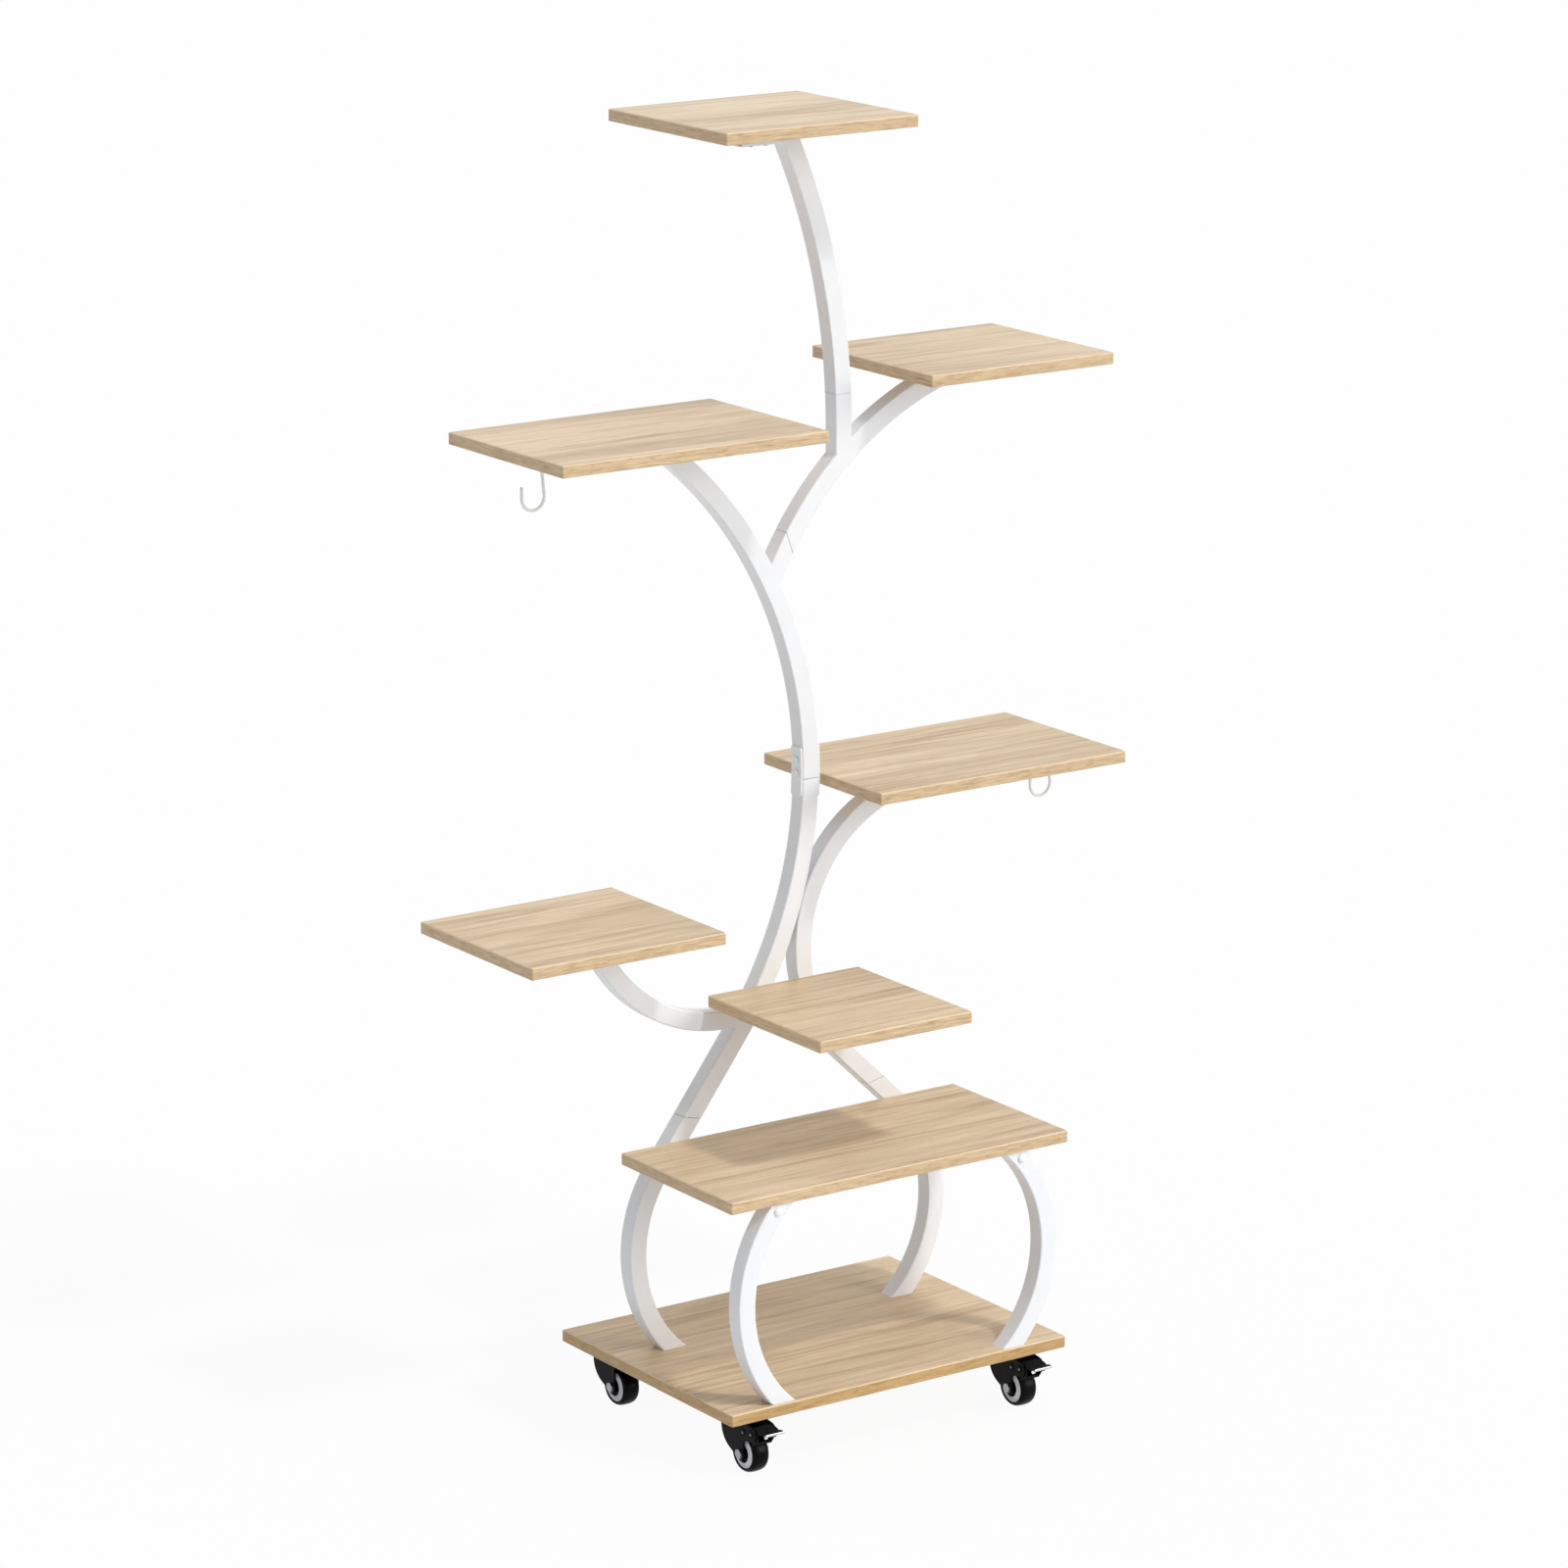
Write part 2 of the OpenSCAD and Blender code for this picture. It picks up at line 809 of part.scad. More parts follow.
module splice_plates() {
    color(white_paint)
        difference() {
            intersection() {
                union() {
                    splice_plate_shape(trunk_radius - tube / 2 - plate_gap - plate_thickness);
                    splice_plate_shape(trunk_radius + tube / 2 + plate_gap);
                }
                translate([trunk_bend[0] + trunk_radius, 0, trunk_bend[1]])
                    plate_outline();
            }
            splice_bolt_holes();
        }
}

module at_splice_bolt(level) {
    translate([trunk_bend[0] + trunk_radius, 0, level])
        rotate([0, 90, 0])
            children();
}

module splice_bolt_holes() {
    for (level = splice_bolt_levels)
        at_splice_bolt(level)
            cylinder(r = bolt_radius + running_gap, h = 2 * tube, center = true);
}

module splice_bolts() {
    color(white_paint)
        for (level = splice_bolt_levels)
            at_splice_bolt(level) {
                translate([0, 0, -splice_grip(level)])
                    cylinder(r = bolt_radius, h = 2 * splice_grip(level) - 0.5);
                translate([0, 0, -splice_grip(level) - bolt_head_height])
                    bolt_head();
            }
}

// Low round head with a hexagon socket, its seat at the top
module bolt_head() {
    difference() {
        union() {
            cylinder(r1 = bolt_head_radius - 1, r2 = bolt_head_radius, h = 1);
            translate([0, 0, 1])
                cylinder(r = bolt_head_radius, h = bolt_head_height - 1);
        }
        translate([0, 0, -1])
            cylinder(r = 1.7, h = 2.4, $fn = 6);
    }
}

// Angle seen from its tube: the upright flange at y = 0, the level one towards -y, corner at z = 0
module angle_shape() {
    difference() {
        union() {
            translate([-angle_width / 2, -angle_sheet, -angle_flange])
                cube([angle_width, angle_sheet, angle_flange]);
            translate([-angle_width / 2, -angle_flange, -angle_sheet])
                cube([angle_width, angle_flange, angle_sheet]);
        }
        translate([0, 1, -angle_bolt_drop])
            rotate([90, 0, 0])
                cylinder(r = bolt_radius + running_gap, h = angle_sheet + 2);
        angle_screw_spots()
            translate([0, 0, -angle_sheet - 1])
                cylinder(r = bar_screw_hole, h = angle_sheet + 2);
    }
}

module angle_screw_spots() {
    for (side = [-1, 1])
        translate([side * angle_width / 3, -angle_flange * 0.62, 0])
            children();
}

module angle_pilots() {
    angle_screw_spots()
        translate([0, 0, -1])
            cylinder(r = screw_radius + seat_gap, h = screw_bite + 1);
}

module front_angle_hole(middle_x) {
    translate([middle_x, 0, front_bolt_z])
        rotate([90, 0, 0])
            cylinder(r = bolt_radius + running_gap, h = tube + 2, center = true);
}

// The four angles under the low shelf
module at_low_angles() {
    for (side = [-1, 1]) {
        translate([side * bolt_x, front_leg_y + tube / 2, low_under])
            mirror([0, 1, 0])
                children();
        translate([side * bolt_x, -tube / 2, low_under])
            children();
    }
}

// The two angles under the front shelf
module at_front_angles() {
    for (middle_x = [front_left_angle_x, front_right_angle_x])
        translate([middle_x, -tube / 2, front_under])
            children();
}

module shelf_angles() {
    color(white_paint) {
        at_low_angles()
            angle_shape();
        at_front_angles()
            angle_shape();
    }
}

// Bolt through a tube into its angle, head on the tube's far face
module angle_bolt_shape() {
    translate([0, tube, -angle_bolt_drop])
        rotate([90, 0, 0]) {
            translate([0, 0, -bolt_head_height])
                bolt_head();
            cylinder(r = bolt_radius, h = tube + angle_sheet + 1);
        }
}

module angle_bolts() {
    color(white_paint) {
        at_low_angles()
            angle_bolt_shape();
        at_front_angles()
            angle_bolt_shape();
    }
}

// Wood screw with its head's seat at z = 0, pointing up
module screw_shape(length) {
    cylinder(r = screw_radius, h = length);
    translate([0, 0, -screw_head_height])
        difference() {
            cylinder(r = screw_head_radius, h = screw_head_height);
            translate([0, 0, -1])
                cylinder(r = 1.2, h = 1.8, $fn = 4);
        }
}

module angle_screws() {
    color(steel) {
        at_low_angles()
            angle_screw_spots()
                translate([0, 0, -angle_sheet])
                    screw_shape(angle_sheet + screw_bite - 0.5);
        at_front_angles()
            angle_screw_spots()
                translate([0, 0, -angle_sheet])
                    screw_shape(angle_sheet + screw_bite - 0.5);
    }
}

module shelf_screws() {
    shelves = [
        [left_low_x, left_low_under],
        [right_mid_x, right_mid_under],
        [left_high_x, left_high_under],
        [right_high_x, right_high_under],
        [top_x, top_under]
    ];
    color(steel)
        for (shelf = shelves)
            at_bar_screws(shelf[0], shelf[1])
                translate([0, 0, -tube])
                    screw_shape(tube + screw_bite - 0.5);
}

// Countersunk screw up through the base board, its head flush with the underside
module foot_screw_shape(extra, length) {
    cylinder(r1 = foot_screw_head_radius + extra, r2 = foot_screw_radius + extra, h = foot_screw_head);
    cylinder(r = foot_screw_radius + extra, h = length);
}

module at_feet() {
    for (side = [-1, 1])
        for (middle_y = [front_leg_y, 0])
            translate([side * foot_x, middle_y, base_under])
                children();
}

module foot_screws() {
    color(steel)
        at_feet()
            difference() {
                foot_screw_shape(0, board_thickness + foot_plate + 1);
                translate([0, 0, -1])
                    cylinder(r = 1.8, h = 3, $fn = 6);
            }
}

// Hook in the tree plane, its stem's foot on the shelf's underside at the right of the bend
module hook_wire() {
    rotate([90, 0, 0])
        rotate([0, 0, 180]) {
            rotate_extrude(angle = 180 + hook_lean, $fn = 96)
                translate([hook_radius, 0])
                    circle(r = wire_radius, $fn = 24);
            translate([hook_radius, 0, 0])
                rotate([90, 0, 0])
                    linear_extrude(height = hook_tip)
                        circle(r = wire_radius, $fn = 24);
        }
}

module hook_stem(size) {
    rotate([90, 0, 0])
        rotate([0, 0, hook_lean])
            translate([hook_radius, -weld_overlap, 0])
                rotate([-90, 0, 0])
                    linear_extrude(height = hook_bend_drop + hook_bite + weld_overlap)
                        circle(r = size, $fn = 24);
}

module at_left_hook() {
    translate([left_high_x - large_shelf_width / 2 + hook_inset, 0, left_high_under - hook_bend_drop])
        children();
}

module at_right_hook() {
    translate([right_mid_x + large_shelf_width / 2 - hook_inset, 0, right_mid_under - hook_bend_drop])
        children();
}

module left_hook() {
    color(white_paint)
        at_left_hook() {
            hook_wire();
            hook_stem(wire_radius - weld_step / 2);
        }
}

module right_hook() {
    color(white_paint)
        at_right_hook() {
            hook_wire();
            hook_stem(wire_radius - weld_step / 2);
        }
}

// A caster's own frame: swivel axis at x = y = 0, z = 0 at the base board's underside
module at_caster(index) {
    translate([caster_spots[index][0], caster_spots[index][1], base_under])
        children();
}

module plate_screw_spots() {
    for (side_x = [-1, 1])
        for (side_y = [-1, 1])
            translate([side_x * top_plate_screw, side_y * top_plate_screw, 0])
                children();
}

module at_caster_screws() {
    for (index = [0:3])
        at_caster(index)
            plate_screw_spots()
                children();
}

module caster_plates() {
    color(black_paint)
        for (index = [0:3])
            at_caster(index)
                difference() {
                    union() {
                        translate([-top_plate_size / 2, -top_plate_size / 2, -top_plate_sheet])
                            cube([top_plate_size, top_plate_size, top_plate_sheet]);
                        translate([0, 0, -top_plate_sheet - race_depth])
                            cylinder(r = race_radius, h = race_depth);
                    }
                    translate([0, 0, -10])
                        cylinder(r = kingpin_radius + seat_gap, h = 12);
                    plate_screw_spots()
                        translate([0, 0, -top_plate_sheet - 1])
                            cylinder(r = bar_screw_hole, h = top_plate_sheet + 2);
                }
}

module caster_screws() {
    color(steel)
        at_caster_screws()
            translate([0, 0, -top_plate_sheet])
                screw_shape(top_plate_sheet + screw_bite - 0.5);
}

module kingpins() {
    color(steel)
        for (index = [0:3])
            at_caster(index) {
                translate([0, 0, crown_under - moving_gap - kingpin_head])
                    cylinder(r = kingpin_head_radius, h = kingpin_head);
                translate([0, 0, crown_under - moving_gap])
                    cylinder(r = kingpin_radius, h = -(crown_under - moving_gap));
            }
}

// Side sheet of a fork, drawn in the caster's y-z plane
module fork_side_outline(braked) {
    back_round = 24.6;
    back_middle = [-4, -16];
    intersection() {
        translate(back_middle)
            circle(r = back_round, $fn = 120);
        polygon([
            [-17.5, crown_top],
            [30, crown_top],
            [30, -30],
            [0, -50],
            [-caster_trail, -axle_drop - 3],
            [-caster_trail - fork_boss + 0.4, -axle_drop],
            [-15.8, -31],
            [-16.5, -26]
        ]);
    }
    translate([-caster_trail, -axle_drop])
        circle(r = fork_boss, $fn = 48);
    if (braked) {
        translate(pivot)
            circle(r = pivot_lobe, $fn = 48);
        translate(rivet)
            circle(r = rivet_lobe, $fn = 48);
        polygon([[-31, -7.7], [-10, crown_top], [-10, -24], [-30, -22.5]]);
    }
}

// Turns a drawing of y and z into a sheet across x, from one x on
module across(from_x, width) {
    translate([from_x, 0, 0])
        rotate([90, 0, 90])
            linear_extrude(height = width)
                children();
}

module fork(index, braked) {
    color(black_paint)
        at_caster(index) {
            difference() {
                union() {
                    translate([0, 0, crown_under])
                        cylinder(r = crown_radius, h = crown_sheet);
                    across(-fork_outer, fork_sheet)
                        fork_side_outline(braked);
                    across(fork_inner, fork_sheet)
                        fork_side_outline(braked);
                }
                translate([0, 0, crown_under - 1])
                    cylinder(r = kingpin_radius + running_gap, h = crown_sheet + 2);
                translate([0, -caster_trail, -axle_drop])
                    rotate([0, 90, 0])
                        cylinder(r = axle_radius + running_gap, h = 2 * fork_outer + 2, center = true);
            }
            if (braked) {
                translate([0, pivot[0], pivot[1]])
                    rotate([0, 90, 0])
                        cylinder(r = pivot_radius, h = 2 * fork_outer + 2 * pivot_head, center = true, $fn = 32);
                for (spot = [pivot, rivet])
                    for (side = [-1, 1])
                        translate([side * (fork_outer + pivot_head / 2), spot[0], spot[1]])
                            rotate([0, 90, 0])
                                cylinder(r = pivot_head_radius, h = pivot_head, center = true, $fn = 32);
            }
        }
}

module axle(index) {
    color(steel)
        at_caster(index)
            translate([0, -caster_trail, -axle_drop])
                rotate([0, 90, 0]) {
                    translate([0, 0, -fork_outer])
                        cylinder(r = axle_radius, h = 2 * fork_outer + axle_nut + axle_end);
                    translate([0, 0, -fork_outer - axle_head])
                        cylinder(r = axle_flats / sqrt(3), h = axle_head, $fn = 6);
                    translate([0, 0, fork_outer])
                        difference() {
                            cylinder(r = axle_flats / sqrt(3), h = axle_nut, $fn = 6);
                            cylinder(r = axle_radius + running_gap, h = 3 * axle_nut, center = true);
                        }
                }
}

module tyre(index) {
    half = wheel_width / 2;
    color(rubber)
        at_caster(index)
            translate([0, -caster_trail, -axle_drop])
                rotate([0, 90, 0])
                    rotate_extrude($fn = 128)
                        polygon([
                            [tyre_inner, -half + 0.7],
                            [tyre_inner + 1, -half],
                            [wheel_radius - tyre_edge_drop - 1.2, -half],
                            [wheel_radius - tyre_edge_drop, -half + 0.6],
                            [wheel_radius - 0.5, -half + tyre_edge_width - 0.8],
                            [wheel_radius, -half + tyre_edge_width + 1.5],
                            [wheel_radius, half - tyre_edge_width - 1.5],
                            [wheel_radius - 0.5, half - tyre_edge_width + 0.8],
                            [wheel_radius - tyre_edge_drop, half - 0.6],
                            [wheel_radius - tyre_edge_drop - 1.2, half],
                            [tyre_inner + 1, half],
                            [tyre_inner, half - 0.7]
                        ]);
}

// White ring between the tyre and the wheel's core, dished outwards, with a shallow groove on each side
module ring(index) {
    outer = tyre_inner - seat_gap;
    color(ring_white)
        at_caster(index)
            translate([0, -caster_trail, -axle_drop])
                rotate([0, 90, 0])
                    rotate_extrude($fn = 96)
                        polygon([
                            [hub_core, -inner_rim_half],
                            [hub_core + rim_sheet, -inner_rim_half],
                            [hub_core + rim_sheet, -inner_rim_half + groove_depth],
                            [outer - rim_sheet, -outer_rim_half + groove_depth],
                            [outer - rim_sheet, -outer_rim_half],
                            [outer, -outer_rim_half],
                            [outer, outer_rim_half],
                            [outer - rim_sheet, outer_rim_half],
                            [outer - rim_sheet, outer_rim_half - groove_depth],
                            [hub_core + rim_sheet, inner_rim_half - groove_depth],
                            [hub_core + rim_sheet, inner_rim_half],
                            [hub_core, inner_rim_half]
                        ]);
}

// Black core of the wheel: a bored boss between the fork's sheets and a thinner web
module core(index) {
    outer = hub_core - seat_gap;
    color(black_paint)
        at_caster(index)
            translate([0, -caster_trail, -axle_drop])
                rotate([0, 90, 0])
                    rotate_extrude($fn = 96)
                        polygon([
                            [axle_radius + running_gap, -hub_half],
                            [hub_boss, -hub_half],
                            [hub_boss, -hub_web_half],
                            [outer, -hub_web_half],
                            [outer, hub_web_half],
                            [hub_boss, hub_web_half],
                            [hub_boss, hub_half],
                            [axle_radius + running_gap, hub_half]
                        ]);
}

// Hood of the brake pedal seen from the side: level, then bent down, then a flange with a lip
module hood_outline() {
    translate([hood_bend, hood_top - hood_sheet])
        square([hood_back - hood_bend, hood_sheet]);
    intersection() {
        difference() {
            translate([hood_bend, hood_top - hood_radius])
                circle(r = hood_radius, $fn = 120);
            translate([hood_bend, hood_top - hood_radius])
                circle(r = hood_radius - hood_sheet, $fn = 120);
        }
        translate([hood_foot, hood_top - hood_radius])
            square([hood_bend - hood_foot, hood_radius]);
    }
    polygon([
        [hood_foot + 1.6, -10.2],
        [hood_foot - 1, -9.7],
        [-pedal_reach, flange_top],
        [-pedal_reach, flange_top - lip_height],
        [-pedal_reach + lip_thickness, flange_top - lip_height],
        [-pedal_reach + lip_thickness, flange_top - hood_sheet],
        [hood_foot - 0.5, -11.6],
        [hood_foot + 1.8, -11.9]
    ]);
}

// One cheek of the pedal, from the hood down past the pivot to the shoe
module cheek_outline() {
    translate(pivot)
        circle(r = pedal_cheek_radius, $fn = 48);
    polygon([
        pivot + [4.2, 1.5],
        [hood_back - 2, hood_top - 1],
        [hood_bend - 3, hood_top - 1],
        [-37, -13],
        [-36, -19],
        pivot + [-3, -3.4]
    ]);
    translate(shoe_spot)
        circle(r = shoe_radius, $fn = 32);
    polygon([
        pivot + [-4.5, 0],
        pivot + [3, -3],
        shoe_spot + [shoe_radius - 0.3, -0.5],
        shoe_spot + [-shoe_radius + 0.2, 0]
    ]);
}

// Brake pedal: two cheeks on the pivot, the hood, a small nub under its lip and a shoe over the tyre
module pedal(index) {
    cheek_outer = fork_inner - moving_gap;
    color(black_paint)
        at_caster(index)
            difference() {
                union() {
                    for (from_x = [-cheek_outer, cheek_outer - pedal_cheek])
                        across(from_x, pedal_cheek)
                            cheek_outline();
                    across(-cheek_outer, 2 * cheek_outer)
                        hood_outline();
                    across(-pedal_width / 2, pedal_width)
                        intersection() {
                            hood_outline();
                            translate([-reach, -reach])
                                square([reach + pedal_step, 2 * reach]);
                        }
                    translate([-nub_size[0] / 2, -pedal_reach + 0.4, flange_top - lip_height - nub_size[2]])
                        cube([nub_size[0], nub_size[1], nub_size[2] + lip_height - 1]);
                    across(-cheek_outer, 2 * cheek_outer)
                        translate(shoe_spot)
                            circle(r = shoe_radius, $fn = 32);
                }
                translate([0, pivot[0], pivot[1]])
                    rotate([0, 90, 0])
                        cylinder(r = pivot_radius + running_gap, h = 2 * fork_outer, center = true, $fn = 32);
            }
}

module fork_front_left() { fork(0, true); }
module fork_front_right() { fork(1, true); }
module fork_back_left() { fork(2, false); }
module fork_back_right() { fork(3, false); }
module axle_front_left() { axle(0); }
module axle_front_right() { axle(1); }
module axle_back_left() { axle(2); }
module axle_back_right() { axle(3); }
module tyre_front_left() { tyre(0); }
module tyre_front_right() { tyre(1); }
module tyre_back_left() { tyre(2); }
module tyre_back_right() { tyre(3); }
module ring_front_left() { ring(0); }
module ring_front_right() { ring(1); }
module ring_back_left() { ring(2); }
module ring_back_right() { ring(3); }
module core_front_left() { core(0); }
module core_front_right() { core(1); }
module core_back_left() { core(2); }
module core_back_right() { core(3); }
module pedal_front_left() { pedal(0); }
module pedal_front_right() { pedal(1); }

placed() base_board();
placed() low_shelf();
placed() front_shelf();
placed() left_low_shelf();
placed() right_mid_shelf();
placed() left_high_shelf();
placed() right_high_shelf();
placed() top_shelf();
placed() front_left_leg();
placed() front_right_leg();
placed() back_left_leg();
placed() back_right_leg();
placed() left_trunk_lower();
placed() left_trunk_upper();
placed() right_trunk();
placed() high_right_branch();
placed() top_branch();
placed() leg_spigots();
placed() branch_spigots();
placed() splice_plates();
placed() splice_bolts();
placed() shelf_angles();
placed() angle_bolts();
placed() angle_screws();
placed() shelf_screws();
placed() foot_screws();
placed() left_hook();
placed() right_hook();
placed() caster_plates();
placed() caster_screws();
placed() kingpins();
placed() fork_front_left();
placed() fork_front_right();
placed() fork_back_left();
placed() fork_back_right();
placed() axle_front_left();
placed() axle_front_right();
placed() axle_back_left();
placed() axle_back_right();
placed() tyre_front_left();
placed() tyre_front_right();
placed() tyre_back_left();
placed() tyre_back_right();
placed() ring_front_left();
placed() core_front_left();
placed() ring_front_right();
placed() core_front_right();
placed() ring_back_left();
placed() core_back_left();
placed() ring_back_right();
placed() core_back_right();
placed() pedal_front_left();
placed() pedal_front_right();
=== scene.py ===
# Tree-shaped plant stand: oak-look shelves on a white square-tube frame with four swivel casters
import json
from math import acos, asin, atan2, ceil, copysign, cos, degrees, hypot, pi, radians, sin, sqrt

import bmesh
import bpy
from mathutils import Matrix, Vector


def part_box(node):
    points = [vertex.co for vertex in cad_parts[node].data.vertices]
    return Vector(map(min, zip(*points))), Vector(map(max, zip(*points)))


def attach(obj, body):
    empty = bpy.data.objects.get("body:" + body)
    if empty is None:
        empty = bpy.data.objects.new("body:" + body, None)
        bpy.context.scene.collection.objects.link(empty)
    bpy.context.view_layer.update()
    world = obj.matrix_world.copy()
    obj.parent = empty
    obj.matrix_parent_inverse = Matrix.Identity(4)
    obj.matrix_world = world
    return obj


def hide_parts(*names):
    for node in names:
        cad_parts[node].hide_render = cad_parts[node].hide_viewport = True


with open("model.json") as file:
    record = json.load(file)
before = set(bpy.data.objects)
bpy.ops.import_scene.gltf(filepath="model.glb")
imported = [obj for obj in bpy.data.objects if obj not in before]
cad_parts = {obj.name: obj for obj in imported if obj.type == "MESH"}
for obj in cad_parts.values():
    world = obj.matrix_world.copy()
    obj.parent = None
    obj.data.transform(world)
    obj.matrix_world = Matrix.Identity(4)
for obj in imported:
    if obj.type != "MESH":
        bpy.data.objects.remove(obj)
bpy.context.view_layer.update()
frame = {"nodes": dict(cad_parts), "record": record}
print("frame loaded:", len(frame["nodes"]), "CAD nodes")

# The stand's own measures are mm: x from the base's middle, y from the tree's plane, z from the floor
boards = ["base_board", "low_shelf", "front_shelf", "left_low_shelf", "right_mid_shelf",
          "left_high_shelf", "right_high_shelf", "top_shelf"]
boxOf = {node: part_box(node) for node in boards}
baseLow, baseHigh = boxOf["base_board"]
baseBehindTree = 100.0
shiftX = 500 * (baseLow.x + baseHigh.x)
shiftY = 1000 * baseHigh.y - baseBehindTree
baseUnder, baseTop = 1000 * baseLow.z, 1000 * baseHigh.z


def place(x, y, z):
    return Vector(((x + shiftX) / 1000, (y + shiftY) / 1000, z / 1000))


def reachAt(radius, rise):
    # How far beside its middle a circle is at that rise
    return sqrt(radius ** 2 - rise ** 2)


def underOf(node):
    return 1000 * boxOf[node][0].z


def middleOf(node):
    return 500 * (boxOf[node][0].x + boxOf[node][1].x) - shiftX


# Materials
def newMaterial(name):
    material = bpy.data.materials.new(name)
    material.use_nodes = True
    return material, material.node_tree, material.node_tree.nodes["Principled BSDF"]


def setValues(node, **values):
    for key, value in values.items():
        if hasattr(node, key):
            setattr(node, key, value)
        else:
            node.inputs[key.replace("_", " ")].default_value = value


def addNode(net, kind, **values):
    node = net.nodes.new(kind)
    setValues(node, **values)
    return node


def addNoise(net, scale, detail, roughness, distortion=0.0, stretch=None, shift=None):
    # Noise in the piece's own space; a stretch makes it a grain
    spot = net.nodes.new("ShaderNodeTexCoord").outputs["Object"]
    if stretch:
        mapping = addNode(net, "ShaderNodeMapping", Scale=stretch, Location=shift)
        net.links.new(spot, mapping.inputs["Vector"])
        spot = mapping.outputs["Vector"]
    noise = addNode(net, "ShaderNodeTexNoise", Scale=scale, Detail=detail, Roughness=roughness,
                    Distortion=distortion)
    net.links.new(spot, noise.inputs["Vector"])
    return noise.outputs["Fac"]


def addRamp(net, source, *stops):
    # Colours by the source's value; a single number stands for a grey
    ramp = net.nodes.new("ShaderNodeValToRGB")
    elements = ramp.color_ramp.elements
    while len(elements) < len(stops):
        elements.new(0.5)
    for element, (position, color) in zip(elements, stops):
        element.position = position
        element.color = (*color, 1) if isinstance(color, tuple) else (color, color, color, 1)
    net.links.new(source, ramp.inputs["Fac"])
    return ramp.outputs["Color"]


def addBump(net, height, strength, distance):
    bump = addNode(net, "ShaderNodeBump", Strength=strength, Distance=distance)
    net.links.new(height, bump.inputs["Height"])
    net.links.new(bump.outputs["Normal"], net.nodes["Principled BSDF"].inputs["Normal"])


def mixColor(net, kind, factor, first, second):
    node = net.nodes.new("ShaderNodeMix")
    node.data_type = "RGBA"
    node.blend_type = kind
    if isinstance(factor, float):
        node.inputs[0].default_value = factor
    else:
        net.links.new(factor, node.inputs[0])
    net.links.new(first, node.inputs[6])
    if isinstance(second, tuple):
        node.inputs[7].default_value = (*second, 1)
    else:
        net.links.new(second, node.inputs[7])
    return node.outputs[2]


oak = {
    "light": (0.850, 0.695, 0.492), "middle": (0.765, 0.603, 0.412), "dark": (0.560, 0.404, 0.250),
    "knot": (0.36, 0.235, 0.125), "knotShare": 0.62, "pore": (0.42, 0.29, 0.17), "poreShare": 0.7,
    "broadTone": (0.85, 0.82, 0.77), "lineTone": (0.79, 0.75, 0.69), "lineShare": 0.8,
    "roughness": (0.27, 0.35), "specular": 0.07, "bump": 0.05, "bumpDepth": 0.0002,
    "edgeLight": (0.78, 0.590, 0.370), "edgeMiddle": (0.67, 0.490, 0.290), "edgeDark": (0.50, 0.345, 0.185),
    "edgeBand": (0.80, 0.76, 0.70), "edgeBandShare": 0.8, "edgeRoughness": 0.36, "edgeBump": 0.15,
    # ease: a flat tone lighter than the grained top, a painted highlight along the boards' rounded top edges
    "baseEdgeTint": (0.85, 0.745, 0.52), "ease": (0.77, 0.610, 0.420),
}
# Noises of a top and of an edge: stretch, shift per seed, detail, roughness, distortion
oakGrains = {
    "broad": ((2.6, 17, 17), (1.7, 3.1, 0), 4, 0.55, 0.9),
    "streaks": ((2.6, 62, 62), (4.3, 0.7, 0), 7, 0.64, 1.1),
    "dashes": ((7.5, 120, 120), (6.1, 2.3, 0), 4, 0.6, 0.8),
    "fine": ((14, 700, 700), (2.1, 5.9, 0), 4, 0.62, 0.0),
    "pores": ((60, 1300, 1300), (7.7, 0, 0), 2, 0.5, 0.0),
    "short": ((60, 60, 520), (3.3, 1.9, 1.0), 5, 0.68, 0.4),
    "long": ((14, 14, 420), (3.3, 1.9, 1.0), 4, 0.68, 0.2),
}


def oakGrain(net, name, seed):
    stretch, shift, detail, roughness, distortion = oakGrains[name]
    return addNoise(net, 1.0, detail, roughness, distortion, stretch, [seed * value for value in shift])


def makeOakTop(name, seed):
    # Oak grain, long along the board, under a satin lacquer
    material, net, shader = newMaterial(name)
    broad, streaks, dashes, fine, pores = [
        oakGrain(net, grain, seed) for grain in ("broad", "streaks", "dashes", "fine", "pores")]
    layers = [
        ("MULTIPLY", 1.0, addRamp(net, broad, (0.33, oak["broadTone"]), (0.62, 1.05))),
        ("MULTIPLY", oak["lineShare"],
         addRamp(net, fine, (0.37, oak["lineTone"]), (0.55, 1.0))),
        ("MIX", addRamp(net, dashes, (0.61, 0.0), (0.76, oak["knotShare"])), oak["knot"]),
        ("MIX", addRamp(net, pores, (0.64, 0.0), (0.74, oak["poreShare"])), oak["pore"]),
    ]
    color = addRamp(net, streaks, (0.32, oak["dark"]), (0.47, oak["middle"]),
                    (0.68, oak["light"]))
    for kind, factor, layer in layers:
        color = mixColor(net, kind, factor, color, layer)
    net.links.new(color, shader.inputs["Base Color"])
    smooth, coarse = oak["roughness"]
    net.links.new(addRamp(net, fine, (0.3, coarse), (0.7, smooth)), shader.inputs["Roughness"])
    addBump(net, fine, oak["bump"], oak["bumpDepth"])
    setValues(shader, Specular_IOR_Level=oak["specular"])
    return material


